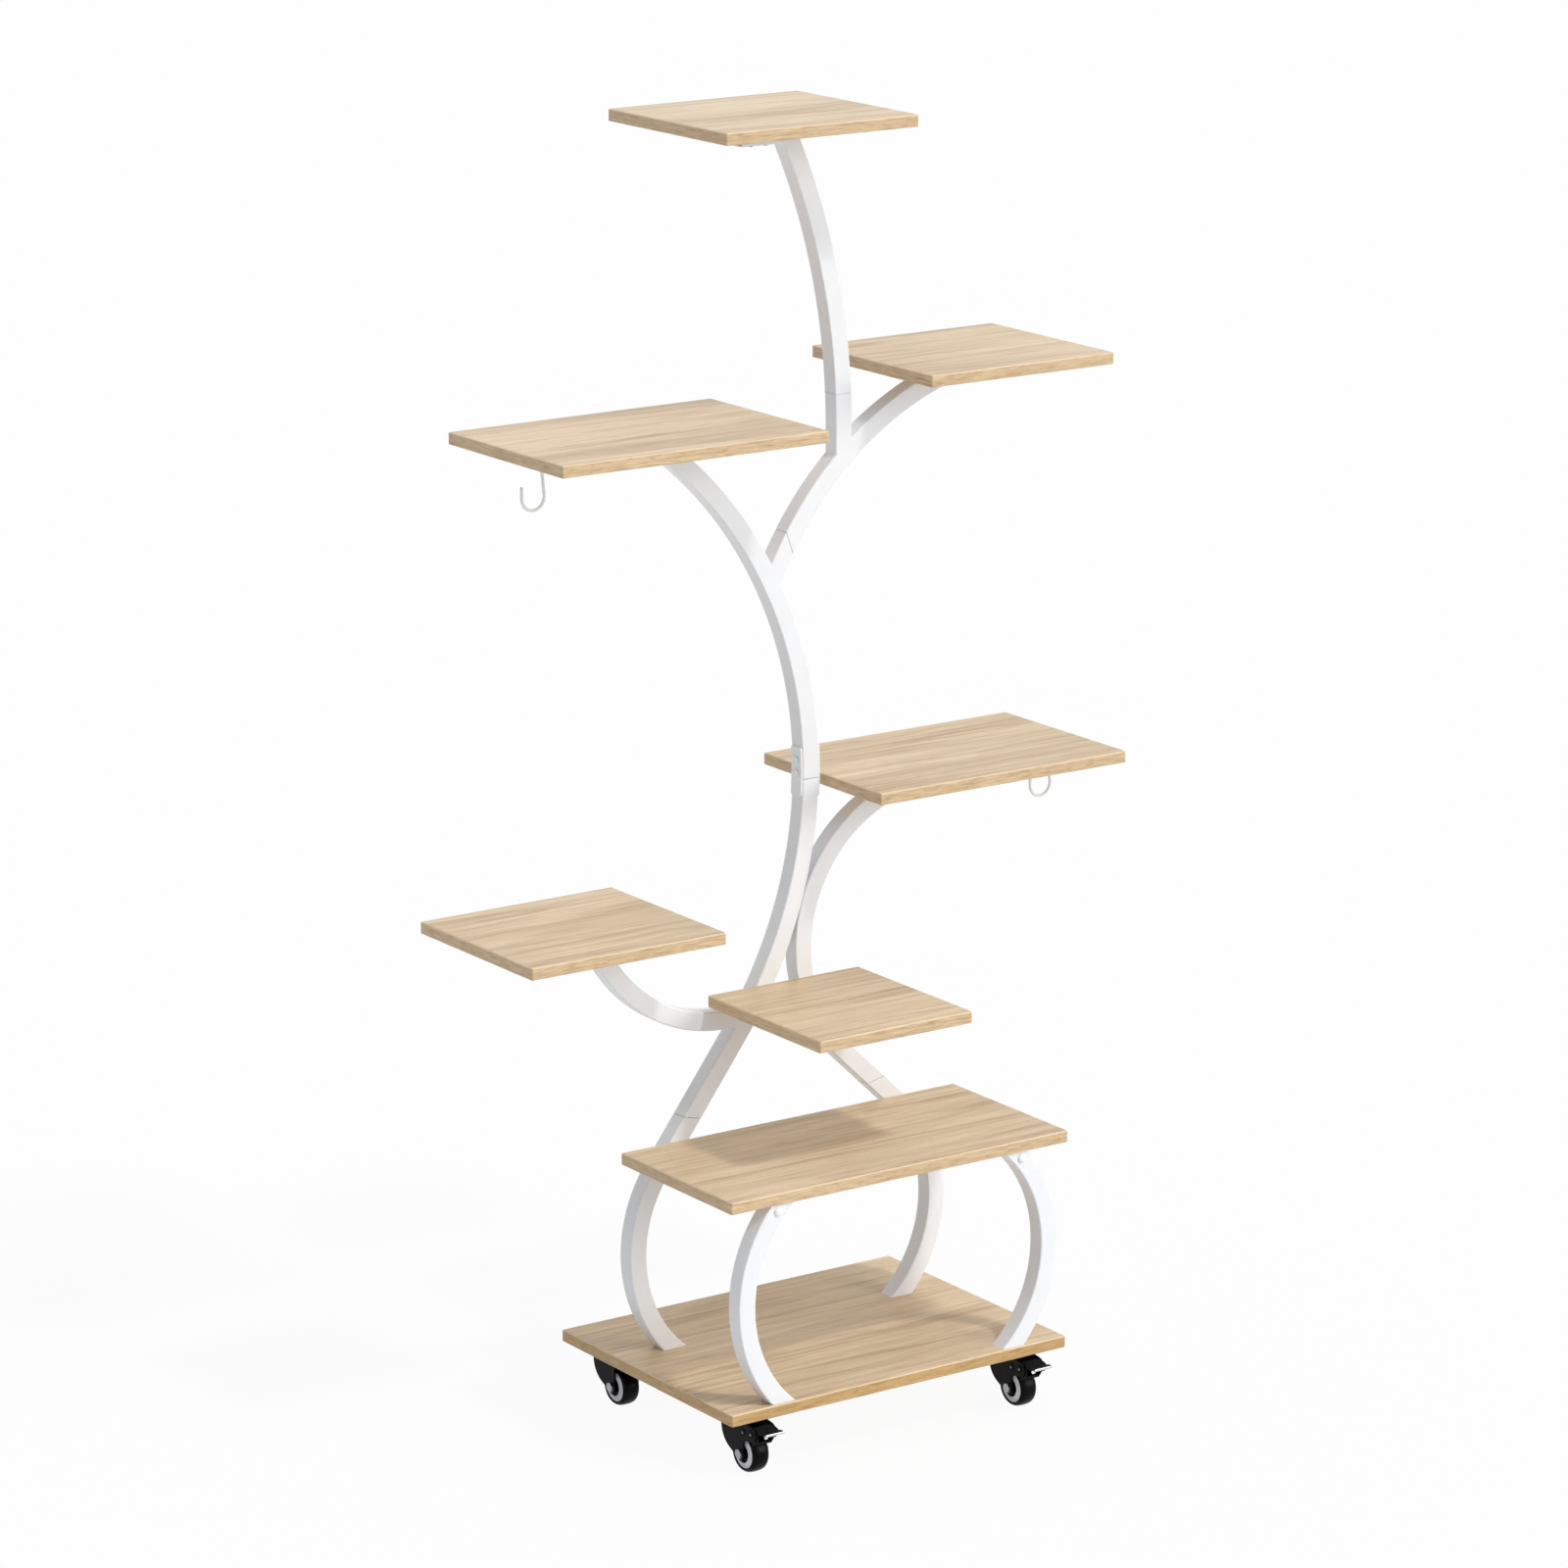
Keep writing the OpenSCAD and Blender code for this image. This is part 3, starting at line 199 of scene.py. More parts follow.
def makeOakEdge(name, seed, tint):
    # Edge band: golden, with short speckled fibres that run along the edge
    material, net, shader = newMaterial(name)
    short, long = [oakGrain(net, grain, seed) for grain in ("short", "long")]
    tone = addRamp(net, short, (0.32, oak["edgeDark"]), (0.47, oak["edgeMiddle"]),
                   (0.66, oak["edgeLight"]))
    bands = addRamp(net, long, (0.36, oak["edgeBand"]), (0.62, 1.0))
    color = mixColor(net, "MULTIPLY", oak["edgeBandShare"], tone, bands)
    net.links.new(mixColor(net, "MULTIPLY", 1.0, color, tint), shader.inputs["Base Color"])
    addBump(net, short, oak["edgeBump"], oak["bumpDepth"])
    setValues(shader, Roughness=oak["edgeRoughness"])
    return material


def makeFinish(name, color, roughness, grainSize, grainDepth, toneShift, metallic=0.0, specular=0.5):
    # Powder coat, moulded plastic, rubber or metal: a faint grain and slight changes of tone and gloss
    material, net, shader = newMaterial(name)
    grain = addNoise(net, grainSize, 3, 0.55)
    cloud = addNoise(net, 28.0, 3, 0.5)
    low, high = [tuple(min(1.0, channel * tone) for channel in color)
                 for tone in (1 - toneShift, 1 + toneShift)]
    net.links.new(addRamp(net, cloud, (0.35, low), (0.65, high)), shader.inputs["Base Color"])
    gloss = addRamp(net, cloud, (0.35, roughness * 0.9), (0.65, roughness * 1.1))
    net.links.new(gloss, shader.inputs["Roughness"])
    addBump(net, grain, grainDepth, 0.0001)
    setValues(shader, Metallic=metallic, Specular_IOR_Level=specular)
    return material


# Finishes: colour, roughness, size and depth of the grain, change of tone
whitePowder = makeFinish("whitePowderCoat", (0.868, 0.885, 0.908), 0.36, 1500, 0.10, 0.012)
# A white lighter than the tubes' paint: partly the heads' own white, partly painted light that lifts the
# bolts and splice plates where they face away from the lamps
boltWhitePaintedLight = makeFinish("boltWhitePaintedLight", (0.93, 0.94, 0.95), 0.22, 1500, 0.06, 0.01)
blackSheet = makeFinish("blackForkPaint", (0.0045, 0.0045, 0.0055), 0.40, 1200, 0.12, 0.2, specular=0.06)
blackPlastic = makeFinish("blackHubPlastic", (0.004, 0.004, 0.005), 0.42, 1600, 0.2, 0.2, specular=0.08)
tyreBlack = makeFinish("tyreBlack", (0.002, 0.0022, 0.003), 0.30, 700, 0.06, 0.2, specular=0.07)
# The ring's dish between its rims is a little darker than the rims: painted shade of the hollow
ringGreyPaintedShade = makeFinish("ringGreyPaintedShade", (0.90, 0.89, 0.94), 0.28, 900, 0.06, 0.03)
ringRim = makeFinish("ringRimWhite", (0.93, 0.93, 0.95), 0.25, 900, 0.05, 0.02)
zincSteel = makeFinish("zincSteel", (0.34, 0.35, 0.37), 0.34, 800, 0.15, 0.08, metallic=1.0)
dullSteel = makeFinish("dullSteel", (0.17, 0.17, 0.18), 0.38, 800, 0.12, 0.08, metallic=1.0)
lipSteel = makeFinish("lipSteel", (0.60, 0.60, 0.62), 0.25, 800, 0.1, 0.08, metallic=1.0)
brightSteel = makeFinish("brightSteel", (0.82, 0.82, 0.83), 0.18, 800, 0.08, 0.05, metallic=1.0)
# Finish of the boards' rounded top edges: a flat tone lighter than the grained top, a painted highlight
easePaintedHighlight = makeFinish("easeLacquerPaintedHighlight", oak["ease"], 0.30, 900, 0.05, 0.05, specular=0.3)
print("materials made")


# Mesh helpers
def newObject(name, data):
    item = bpy.data.objects.new(name, data)
    bpy.context.scene.collection.objects.link(item)
    return item


def newPiece(name, mesh, body, materials, replaced=None, smoothAngle=30.0, edgeRound=0.0):
    mesh.name = name
    piece = newObject(name, mesh)
    for material in materials:
        mesh.materials.append(material)
    mesh.polygons.foreach_set("use_smooth", [True] * len(mesh.polygons))
    mesh.set_sharp_from_angle(angle=radians(smoothAngle))
    if edgeRound:
        bevel = piece.modifiers.new("roundEdges", "BEVEL")
        bevel.width = edgeRound / 1000
        bevel.segments = 2
        bevel.limit_method = "ANGLE"
        bevel.angle_limit = radians(smoothAngle)
    weighted = piece.modifiers.new("evenShading", "WEIGHTED_NORMAL")
    weighted.keep_sharp = True
    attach(piece, body)
    if replaced:
        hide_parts(replaced)
    return piece


def toMesh(bm):
    bmesh.ops.recalc_face_normals(bm, faces=bm.faces)
    mesh = bpy.data.meshes.new("part")
    bm.to_mesh(mesh)
    bm.free()
    return mesh


def joinMeshes(meshes):
    bm = bmesh.new()
    for mesh in meshes:
        bm.from_mesh(mesh)
        bpy.data.meshes.remove(mesh)
    return toMesh(bm)


def combine(firstMesh, secondMesh, operation):
    # Joins, cuts or intersects two closed meshes
    first, second = newObject("first", firstMesh), newObject("second", secondMesh)
    boolean = first.modifiers.new("combine", "BOOLEAN")
    boolean.operation = operation
    boolean.solver = "EXACT"
    boolean.object = second
    result = bpy.data.meshes.new_from_object(first.evaluated_get(bpy.context.evaluated_depsgraph_get()))
    for part, mesh in ((first, firstMesh), (second, secondMesh)):
        bpy.data.objects.remove(part)
        bpy.data.meshes.remove(mesh)
    return result


def bevelEdges(bm, edges, offset, segments):
    bmesh.ops.bevel(bm, geom=edges, offset=offset / 1000, segments=segments, profile=0.5, affect="EDGES")


def bridge(bm, rings):
    # Faces from each ring of points to the next; a ring of one point is a tip
    for first, second in zip(rings, rings[1:]):
        count = max(len(first), len(second))
        for i in range(count):
            j = (i + 1) % count
            if len(first) == 1:
                bm.faces.new((first[0], second[i], second[j]))
            elif len(second) == 1:
                bm.faces.new((first[j], first[i], second[0]))
            else:
                bm.faces.new((first[i], first[j], second[j], second[i]))


def polar(radius, angle):
    return radius * cos(radians(angle)), radius * sin(radians(angle))


def onCircle(middle, radius, angle):
    reach, rise = polar(radius, angle)
    return middle[0] + reach, middle[1] + rise


def roundedSquare(size, radius, steps):
    inner = size / 2 - radius
    return [onCircle((inner if quarter in (0, 3) else -inner, inner if quarter in (0, 1) else -inner),
                     radius, 90 * (quarter + step / steps))
            for quarter in range(4) for step in range(steps + 1)]


def solidBetween(near, far):
    # A solid between two outlines with as many points
    bm = bmesh.new()
    near, far = [[bm.verts.new(spot) for spot in outline] for outline in (near, far)]
    bridge(bm, [near, far])
    bm.faces.new(near)
    bm.faces.new(list(reversed(far)))
    return toMesh(bm)


# Boards
board = {
    "cornerRadius": 1.8,    # stays larger than topEase
    "topEase": 1.6, "underEase": 1.0,
    "firstSeed": 1.0, "seedStep": 2.37,
}


def makeBoard(node, seed):
    low, high = boxOf[node]
    hair = 1e-6
    bm = bmesh.new()
    bmesh.ops.create_cube(bm, size=1.0)
    bmesh.ops.scale(bm, vec=high - low, verts=bm.verts)
    bmesh.ops.translate(bm, vec=(low + high) / 2, verts=bm.verts)
    rims = (("cornerRadius", 4, lambda levels: max(levels) - min(levels) > hair),
            ("topEase", 4, lambda levels: min(levels) > high.z - hair),
            ("underEase", 3, lambda levels: max(levels) < low.z + hair))
    for measure, segments, isRim in rims:
        edges = [edge for edge in bm.edges if isRim([vert.co.z for vert in edge.verts])]
        bevelEdges(bm, edges, board[measure], segments)
    for face in bm.faces:
        face.normal_update()
        face.material_index = 0 if abs(face.normal.z) > 0.9 else 1
        # The rounded top edge takes the lighter ease finish, a painted highlight
        if 0.25 < face.normal.z < 0.97:
            face.material_index = 2
    tint = oak["baseEdgeTint"] if node == "base_board" else (1.0, 1.0, 1.0)
    finishes = [makeOakTop("oakTop_" + node, seed), makeOakEdge("oakEdge_" + node, seed, tint), easePaintedHighlight]
    newPiece(node + "_oak", toMesh(bm), "stand", finishes, node, 35.0)


for number, node in enumerate(boards):
    makeBoard(node, board["firstSeed"] + board["seedStep"] * number)
print("boards made")


# Square tubes of the tree frame
tube = {
    "size": 19.0, "cornerRadius": 1.6, "wall": 1.2, "innerRadius": 0.6,
    "stepMm": 6.0,          # longest straight facet in a bend
    "weldStep": 0.1,        # a welded-on piece is this much thinner
    "jointEase": 0.5,       # rounded rim where two tubes meet in a joint
    "jointGap": 0.22,       # each of the two stops this far short of the joint
    "barLength": 60.0,
    "openDepth": 25.0,      # bore in the right trunk's level end
}
half = tube["size"] / 2


def arc(middle, radius, start, end):
    # Stations of a bend in the tree's plane: (x, z, outward x, outward z)
    count = max(2, int(abs(radians(end - start)) * radius / tube["stepMm"]) + 1)
    angles = [start + (end - start) * i / count for i in range(count + 1)]
    return [(*onCircle(middle, radius, angle), *polar(1.0, angle)) for angle in angles]


def mirrored(stations):
    return [(-x, z, -nx, nz) for x, z, nx, nz in stations]


def sweep(stations, y=0.0, thinner=0.0, easeStart=False, easeEnd=False, bore=False):
    # A closed length of tube through the stations; with bore it is the tube's inside
    bm = bmesh.new()
    size = tube["size"] - thinner - (2 * tube["wall"] if bore else 0)
    section = roundedSquare(size, tube["innerRadius" if bore else "cornerRadius"], 4)
    rings = [[bm.verts.new(place(x + nx * out, y + depth, z + nz * out)) for out, depth in section]
             for x, z, nx, nz in stations]
    bridge(bm, rings)
    ends = [bm.faces.new(rings[0]), bm.faces.new(list(reversed(rings[-1])))]
    for wanted, end in zip((easeStart, easeEnd), ends):
        if wanted:
            end.normal_update()
            bmesh.ops.translate(bm, vec=-end.normal * tube["jointGap"] / 1000, verts=end.verts[:])
            bevelEdges(bm, end.edges[:], tube["jointEase"], 2)
    return bm


def cut(bm, x, z, nx, nz, ease=False):
    # Keeps what lies behind the plane through (x, z) with the outward normal (nx, nz), and caps it
    away = Vector((nx, 0, nz))
    spot = place(x, 0, z) - away * (tube["jointGap"] / 1000 if ease else 0)
    result = bmesh.ops.bisect_plane(bm, geom=bm.verts[:] + bm.edges[:] + bm.faces[:], dist=1e-6,
                                    plane_co=spot, plane_no=away, clear_outer=True)
    rim = [part for part in result["geom_cut"] if isinstance(part, bmesh.types.BMEdge)]
    filled = bmesh.ops.edgeloop_fill(bm, edges=rim)
    if ease:
        edges = dict.fromkeys(edge for face in filled["faces"] for edge in face.edges)
        bevelEdges(bm, list(edges), tube["jointEase"], 2)
    return bm


def barStations(shelf, longer=0.0):
    # The short bar under a branch shelf
    reach = tube["barLength"] / 2 + longer
    return [(middleOf(shelf) + side * reach, underOf(shelf) - half, 0, 1) for side in (-1, 1)]


def weldedBranch(shelf, *lengths):
    # One closed mesh from lengths of tube and the shelf's bar, which is open at its two ends
    thinner = 2 * tube["weldStep"]
    result, *others = [toMesh(length) for length in (*lengths, sweep(barStations(shelf), thinner=thinner))]
    for other in others:
        result = combine(result, other, "UNION")
    return combine(result, toMesh(sweep(barStations(shelf, 1.0), thinner=thinner, bore=True)), "DIFFERENCE")


# Bends of the tree, as in the part: middle and radius along the tube's middle line
tree = {
    "legMiddle": 38.0, "legRadius": 142.0, "frontLegInset": 2.5, "legJointRise": 231.0, "spigotReach": 26.0,
    "seamLean": 12.7,       # slope of the cut between a back leg and its trunk, in degrees
    "seamLift": 2.6,        # the cut passes this far above the CAD joint's middle
    "seamReach": 12.5,      # tube past the joint, for the sloping cut to bite into
    "trunkMiddle": (-398.0, 562.0), "trunkRadius": 423.0, "spliceRise": 555.0,
    "rightRadius": 152.0, "touchGap": 0.2,
    "lowBranchMiddle": (-73.0, 490.0), "lowBranchRadius": 164.0,
    "highBranchRadius": 338.0, "branchRootRise": 754.0, "barBite": 5.0,
    "branchJointRise": 793.0, "branchJointLean": 110.0,
    "stubX": 63.5, "topRadius": 676.0, "topBendRise": 901.0, "topJointRise": 933.0,
}
legMiddle, legRadius = tree["legMiddle"], tree["legRadius"]
legZ = (baseTop + underOf("low_shelf")) / 2
footSwing = degrees(acos(reachAt(legRadius, legZ - baseTop) / legRadius)) + 12
frontLegY = 1000 * baseLow.y - shiftY + tree["frontLegInset"] + half
trunkRadius = tree["trunkRadius"]
trunkMiddle = (tree["trunkMiddle"][0], baseTop + tree["trunkMiddle"][1])
spliceZ = baseTop + tree["spliceRise"]
spliceAngle = degrees(asin((spliceZ - trunkMiddle[1]) / trunkRadius))
legJointZ = baseTop + tree["legJointRise"]
leastLead = tree["spigotReach"] + 2

leftSpan = (trunkMiddle[0] + legMiddle, trunkMiddle[1] - legZ)
leftTurn = degrees(atan2(leftSpan[1], leftSpan[0]) + acos((legRadius + trunkRadius) / hypot(*leftSpan)))
leftTurnRad = radians(leftTurn)
leftLead = max(leastLead, (legJointZ - legZ - legRadius * sin(leftTurnRad)) / -cos(leftTurnRad))

rightRadius = tree["rightRadius"]
rightZ = underOf("right_mid_shelf") - half - rightRadius
trunksApart = trunkRadius + rightRadius + tube["size"] + tree["touchGap"]
besideTrunk = trunkMiddle[0] + reachAt(trunksApart, trunkMiddle[1] - rightZ)
leastSpan = hypot(legRadius + rightRadius, 2 * leastLead + tree["spigotReach"])
clearOfLeg = legMiddle + sqrt(max(0.0, leastSpan ** 2 - (rightZ - legZ) ** 2))
rightMiddle = (max(besideTrunk, clearOfLeg), rightZ)
rightSpan = (rightMiddle[0] - legMiddle, rightMiddle[1] - legZ)
rightTurn = degrees(atan2(rightSpan[1], rightSpan[0]) - acos((legRadius + rightRadius) / hypot(*rightSpan)))
rightTurnRad = radians(rightTurn)
rightLead = max(leastLead, (legJointZ - legZ - legRadius * sin(rightTurnRad)) / cos(rightTurnRad))

lowMiddle = (tree["lowBranchMiddle"][0], baseTop + tree["lowBranchMiddle"][1])
lowRadius = tree["lowBranchRadius"]
highRadius = tree["highBranchRadius"]
rootZ = baseTop + tree["branchRootRise"]
highRoot = (trunkMiddle[0] + reachAt(trunkRadius, rootZ - trunkMiddle[1]), rootZ)
highTip = (middleOf("right_high_shelf") - tube["barLength"] / 2 + tree["barBite"],
           underOf("right_high_shelf") - half)
chord = (highTip[0] - highRoot[0], highTip[1] - highRoot[1])
chordLength = hypot(*chord)
bow = reachAt(highRadius, chordLength / 2) / chordLength
highMiddle = ((highRoot[0] + highTip[0]) / 2 + bow * chord[1],
              (highRoot[1] + highTip[1]) / 2 - bow * chord[0])
rootAngle = 180 + degrees(atan2(highMiddle[1] - highRoot[1], highMiddle[0] - highRoot[0]))
tipAngle = degrees(atan2(highTip[1] - highMiddle[1], highTip[0] - highMiddle[0]))
branchJointZ = baseTop + tree["branchJointRise"]
branchJointAngle = 180 - degrees(asin((branchJointZ - highMiddle[1]) / highRadius))
branchJoint = onCircle(highMiddle, highRadius, branchJointAngle)
lean = radians(90 - tree["branchJointLean"])
topMiddle, topRadius = (tree["stubX"] - tree["topRadius"], baseTop + tree["topBendRise"]), tree["topRadius"]
topJointAngle = degrees(asin((baseTop + tree["topJointRise"] - topMiddle[1]) / topRadius))


def legSeam(bm, side, x, z, way):
    # The joint's sloping cut, mirrored on the right; way 1 keeps what lies below, -1 what lies above
    nx, nz = polar(way, 90 - tree["seamLean"])
    return cut(bm, x, z + tree["seamLift"], -side * nx, nz, ease=True)


def frontLeg(side):
    stations = arc((-legMiddle, legZ), legRadius, 180 + footSwing, 180 - footSwing)
    bm = sweep(stations if side < 0 else mirrored(stations), y=frontLegY)
    cut(bm, 0, baseTop, 0, -1)
    return toMesh(cut(bm, 0, underOf("low_shelf"), 0, 1))


def backLeg(side):
    turn, lead = (leftTurn, leftLead) if side < 0 else (180 - rightTurn, rightLead)
    stations = arc((-legMiddle, legZ), legRadius, 180 + footSwing, turn)
    x, z, nx, nz = stations[-1]
    x, z, beyond = x + lead * nz, z - lead * nx, tree["seamReach"]
    stations.append((x + beyond * nz, z - beyond * nx, nx, nz))
    bm = sweep(stations if side < 0 else mirrored(stations))
    legSeam(bm, side, side * -x, z, 1)
    return toMesh(cut(bm, 0, baseTop, 0, -1))


def trunkFoot(spot, turn, leads):
    # Spots on the straight length between a leg's bend and its trunk's, and the first station
    joint, (x, z) = [(spot[0] + lead * sin(turn), spot[1] - lead * cos(turn)) for lead in leads]
    return joint, (x, z, -cos(turn), -sin(turn))


def lowerTrunk():
    joint, start = trunkFoot(onCircle((-legMiddle, legZ), legRadius, leftTurn), leftTurnRad,
                             (leftLead, leftLead - tree["seamReach"]))
    trunk = sweep([start] + arc(trunkMiddle, trunkRadius, leftTurn - 180, spliceAngle + 2))
    cut(legSeam(trunk, -1, *joint, -1), 0, spliceZ, 0, 1, ease=True)
    toTrunk = (trunkMiddle[0] - lowMiddle[0], trunkMiddle[1] - lowMiddle[1])
    apart = hypot(*toTrunk)
    meeting = acos((lowRadius ** 2 + apart ** 2 - trunkRadius ** 2) / (2 * lowRadius * apart))
    end = degrees(atan2(toTrunk[1], toTrunk[0]) + meeting)
    under = underOf("left_low_shelf")
    begin = 180 + degrees(asin((lowMiddle[1] - under) / lowRadius)) - 8
    branch = sweep(arc(lowMiddle, lowRadius, begin, end), thinner=tube["weldStep"])
    return weldedBranch("left_low_shelf", trunk, cut(branch, 0, under - 1, 0, 1))


def endUnder(shelf, middle, radius):
    # Angle at which a bend has passed the shelf's underside
    return degrees(asin((underOf(shelf) - middle[1]) / (radius - half))) + 1.5


def upperTrunk():
    end = endUnder("left_high_shelf", trunkMiddle, trunkRadius)
    trunk = sweep(arc(trunkMiddle, trunkRadius, spliceAngle - 2, end))
    cut(cut(trunk, 0, spliceZ, 0, -1, ease=True), 0, underOf("left_high_shelf") - 1, 0, 1)
    root = sweep(arc(highMiddle, highRadius, rootAngle, branchJointAngle - 6), thinner=tube["weldStep"])
    cut(root, *branchJoint, cos(lean), -sin(lean), ease=True)
    return weldedBranch("left_high_shelf", trunk, root)


def rightTrunk():
    lead = reachAt(hypot(*rightSpan), legRadius + rightRadius) - rightLead
    joint, start = trunkFoot(onCircle(rightMiddle, rightRadius, rightTurn + 180), rightTurnRad,
                             (lead, lead + tree["seamReach"]))
    endX = middleOf("right_mid_shelf") + tube["barLength"] / 2
    level = rightMiddle[1] + rightRadius
    trunk = sweep([start] + arc(rightMiddle, rightRadius, rightTurn + 180, 90) + [(endX, level, 0, 1)])
    inside = sweep([(endX - tube["openDepth"], level, 0, 1), (endX + 1, level, 0, 1)], bore=True)
    return combine(toMesh(legSeam(trunk, 1, *joint, -1)), toMesh(inside), "DIFFERENCE")


def highBranch():
    branch = sweep(arc(highMiddle, highRadius, branchJointAngle + 6, tipAngle))
    cut(branch, *branchJoint, -cos(lean), sin(lean), ease=True)
    cut(branch, 0, underOf("right_high_shelf") - 1, 0, 1)
    footZ = highMiddle[1] + reachAt(highRadius, highMiddle[0] - tree["stubX"])
    stub = sweep([(tree["stubX"], footZ, 1, 0)] + arc(topMiddle, topRadius, 0, topJointAngle),
                 thinner=tube["weldStep"], easeEnd=True)
    return weldedBranch("right_high_shelf", branch, stub)


def topBranch():
    end = endUnder("top_shelf", topMiddle, topRadius)
    branch = sweep(arc(topMiddle, topRadius, topJointAngle, end), easeStart=True)
    return weldedBranch("top_shelf", cut(branch, 0, underOf("top_shelf") - 1, 0, 1))


tubes = {
    "front_left_leg": frontLeg(-1), "front_right_leg": frontLeg(1),
    "back_left_leg": backLeg(-1), "back_right_leg": backLeg(1),
    "left_trunk_lower": lowerTrunk(), "left_trunk_upper": upperTrunk(),
    "right_trunk": rightTrunk(), "high_right_branch": highBranch(), "top_branch": topBranch(),
}
for node, mesh in tubes.items():
    newPiece(node + "_tube", mesh, "stand", [whitePowder], node)
print("tubes made")


# Casters: y and z are mm from the swivel axis and the base board's underside
caster = {
    "forkInner": 10.5, "sheet": 2.0, "crownTop": -5.0, "crownBend": 2.2, "innerBend": 0.7,
    "crownFront": -17.2, "crownDisc": 17.0, "crownDiscSheet": 2.5, "pinRadius": 4.0, "play": 0.05,
    "eyeRadius": 6.5, "back": (-4.0, -16.0, 24.6),
    "bossRadius": 4.1, "bossHeight": 0.6, "rivetRadius": 1.5, "rivetHeight": 0.8, "pivotPin": 1.5,
    "boltTurn": 12.0, "nutTurn": 7.0, "boltFlats": 9.0, "boltHead": 2.8, "boltRadius": 3.0,
    "nutHeight": 5.0, "boltEnd": 1.0, "boltChamfer": 0.6,
    "plateSize": 42.0, "plateSheet": 2.0, "plateCorner": 4.0, "raceRadius": 15.0, "raceDepth": 2.7,
}
wheel = {
    "radius": 20.0, "half": 9.5, "ringOuter": 15.35, "ringInner": 9.9, "boss": 6.0, "bore": 3.05,
    # Tyre: out from the ring and from the side, then in from the tread and from the side
    "shoulder": [(0, -1.0), (0.25, -0.45), (0.8, -0.08), (1.3, 0), (1.7, -0.12), (1.95, -0.42), (2.2, -0.55)],
    "tread": [(1.6, 1.3), (0.95, 2.3), (0.5, 3.6), (0.22, 5.2), (0.06, 7.2)], "flatHalf": 0.6,
}
pedal = {
    "pivot": (-29.4, -15.0), "rivet": (-16.0, -16.6), "cheek": 1.6, "cheekOuter": 10.2, "half": 11.0,
    "cheekTop": [(-24.0, -10.4, 1.4), (-34.8, -10.8, 2.2), (-36.0, -13.5, 1.6), (-36.0, -18.6, 1.4)],
    "pivotBore": 1.56, "shoe": (-30.6, -25.0), "shoeRadius": 2.0,
    "hoodTop": -8.0, "sheet": 1.8, "back": -20.0, "bend": -33.0, "radius": 22.0, "step": -37.4,
    "ridgeFrom": -31.0, "ridgeTo": -43.2, "ridgePitch": 1.2, "ridgeHeight": 0.35,
    "flangeTop": [(-43.9, -10.35), (-45.0, -9.75), (-47.0, -9.4), (-52.2, -8.95), (-52.8, -9.1),
                  (-53.0, -9.5)],
    "flangeUnder": [(-53.0, -11.0), (-52.8, -11.3), (-51.9, -11.3), (-51.7, -11.0), (-51.6, -10.7),
                    (-47.0, -11.15), (-45.0, -11.5), (-43.2, -12.3)],
    "hoodUnder": (-42.0, -40.5, -39.0, -37.5, -36.0, -34.5, -33.0, -28.0, -24.0, -20.0),
    "nub": [(-50.9, -12.0, 0.5), (-50.9, -10.4, 0.5), (-52.1, -10.4, 0.4), (-52.1, -12.1, 0.5)],
    "nubHalf": 1.7, "lipFront": -52.7, "lipTop": -9.05,
}
trail, drop = -11.5, 1000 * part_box("tyre_front_left")[0].z + wheel["radius"] - baseUnder
forkOuter = caster["forkInner"] + caster["sheet"]
corners = ["front_left", "front_right", "back_left", "back_right"]
jointSpots = {joint["name"]: Vector(joint["pos_m"]) for joint in frame["record"]["behaviour"]["joints"]}
left, right, down = Vector((-1, 0, 0)), Vector((1, 0, 0)), Vector((0, 0, -1))


def atCaster(corner):
    spot = jointSpots["swivel_" + corner]
    return lambda x, y, z: Vector((spot.x + x / 1000, spot.y + y / 1000, (baseUnder + z) / 1000))


def beltOutline(circles, stepDegrees=9.0):
    # Outline that runs round circles (y, z, radius) like a belt; a minus radius makes an inward curve
    normals = []
    for (y1, z1, r1), (y2, z2, r2) in zip(circles, circles[1:] + circles[:1]):
        dy, dz = y2 - y1, z2 - z1
        turn = acos(max(-1.0, min(1.0, (r1 - r2) / hypot(dy, dz))))
        normals.append(atan2(dz, dy) - turn)
    points = []
    for (y, z, radius), arrive, leave in zip(circles, normals[-1:] + normals[:-1], normals):
        turn = (leave - arrive + pi) % (2 * pi) - pi
        if radius * turn < 0:
            turn += copysign(2 * pi, radius)
        count = max(1, ceil(abs(degrees(turn)) / stepDegrees))
        points += [onCircle((y, z), radius, degrees(arrive + turn * i / count)) for i in range(count + 1)]
    return points


def across(point, outline, fromX, toX):
    # Turns an outline of (y, z) into a solid from one x to another
    return solidBetween(*[[point(x, y, z) for y, z in outline] for x in (fromX, toX)])


def along(point, outline, fromY, toY):
    # Turns an outline of (x, z) into a solid from one y to another
    return solidBetween(*[[point(x, y, z) for x, z in outline] for y in (fromY, toY)])


def aimed(spot, axis):
    # Maker of points in mm round a spot, with z along the axis
    turnTo = Vector((0, 0, 1)).rotation_difference(axis).to_matrix()
    return lambda x, y, z: spot + turnTo @ Vector((x / 1000, y / 1000, z / 1000))


def lathe(spot, axis, profile, steps=96):
    # Turns a profile of (radius, height) round an axis; radius 0 closes the middle
    bm = bmesh.new()
    point = aimed(spot, axis)
    rings = [[bm.verts.new(point(*polar(radius, 360 * i / steps), height))
              for i in range(steps if radius else 1)] for radius, height in profile]
    isLoop = profile[0][0] and profile[-1][0]
    bridge(bm, rings + rings[:1] if isLoop else rings)
    return toMesh(bm)


def plug(spot, axis, radius, height, steps, inner=0):
    # A plain pin, or a washer where there is an inner radius
    return lathe(spot, axis, [(inner, 0), (radius, 0), (radius, height), (inner, height)], steps)


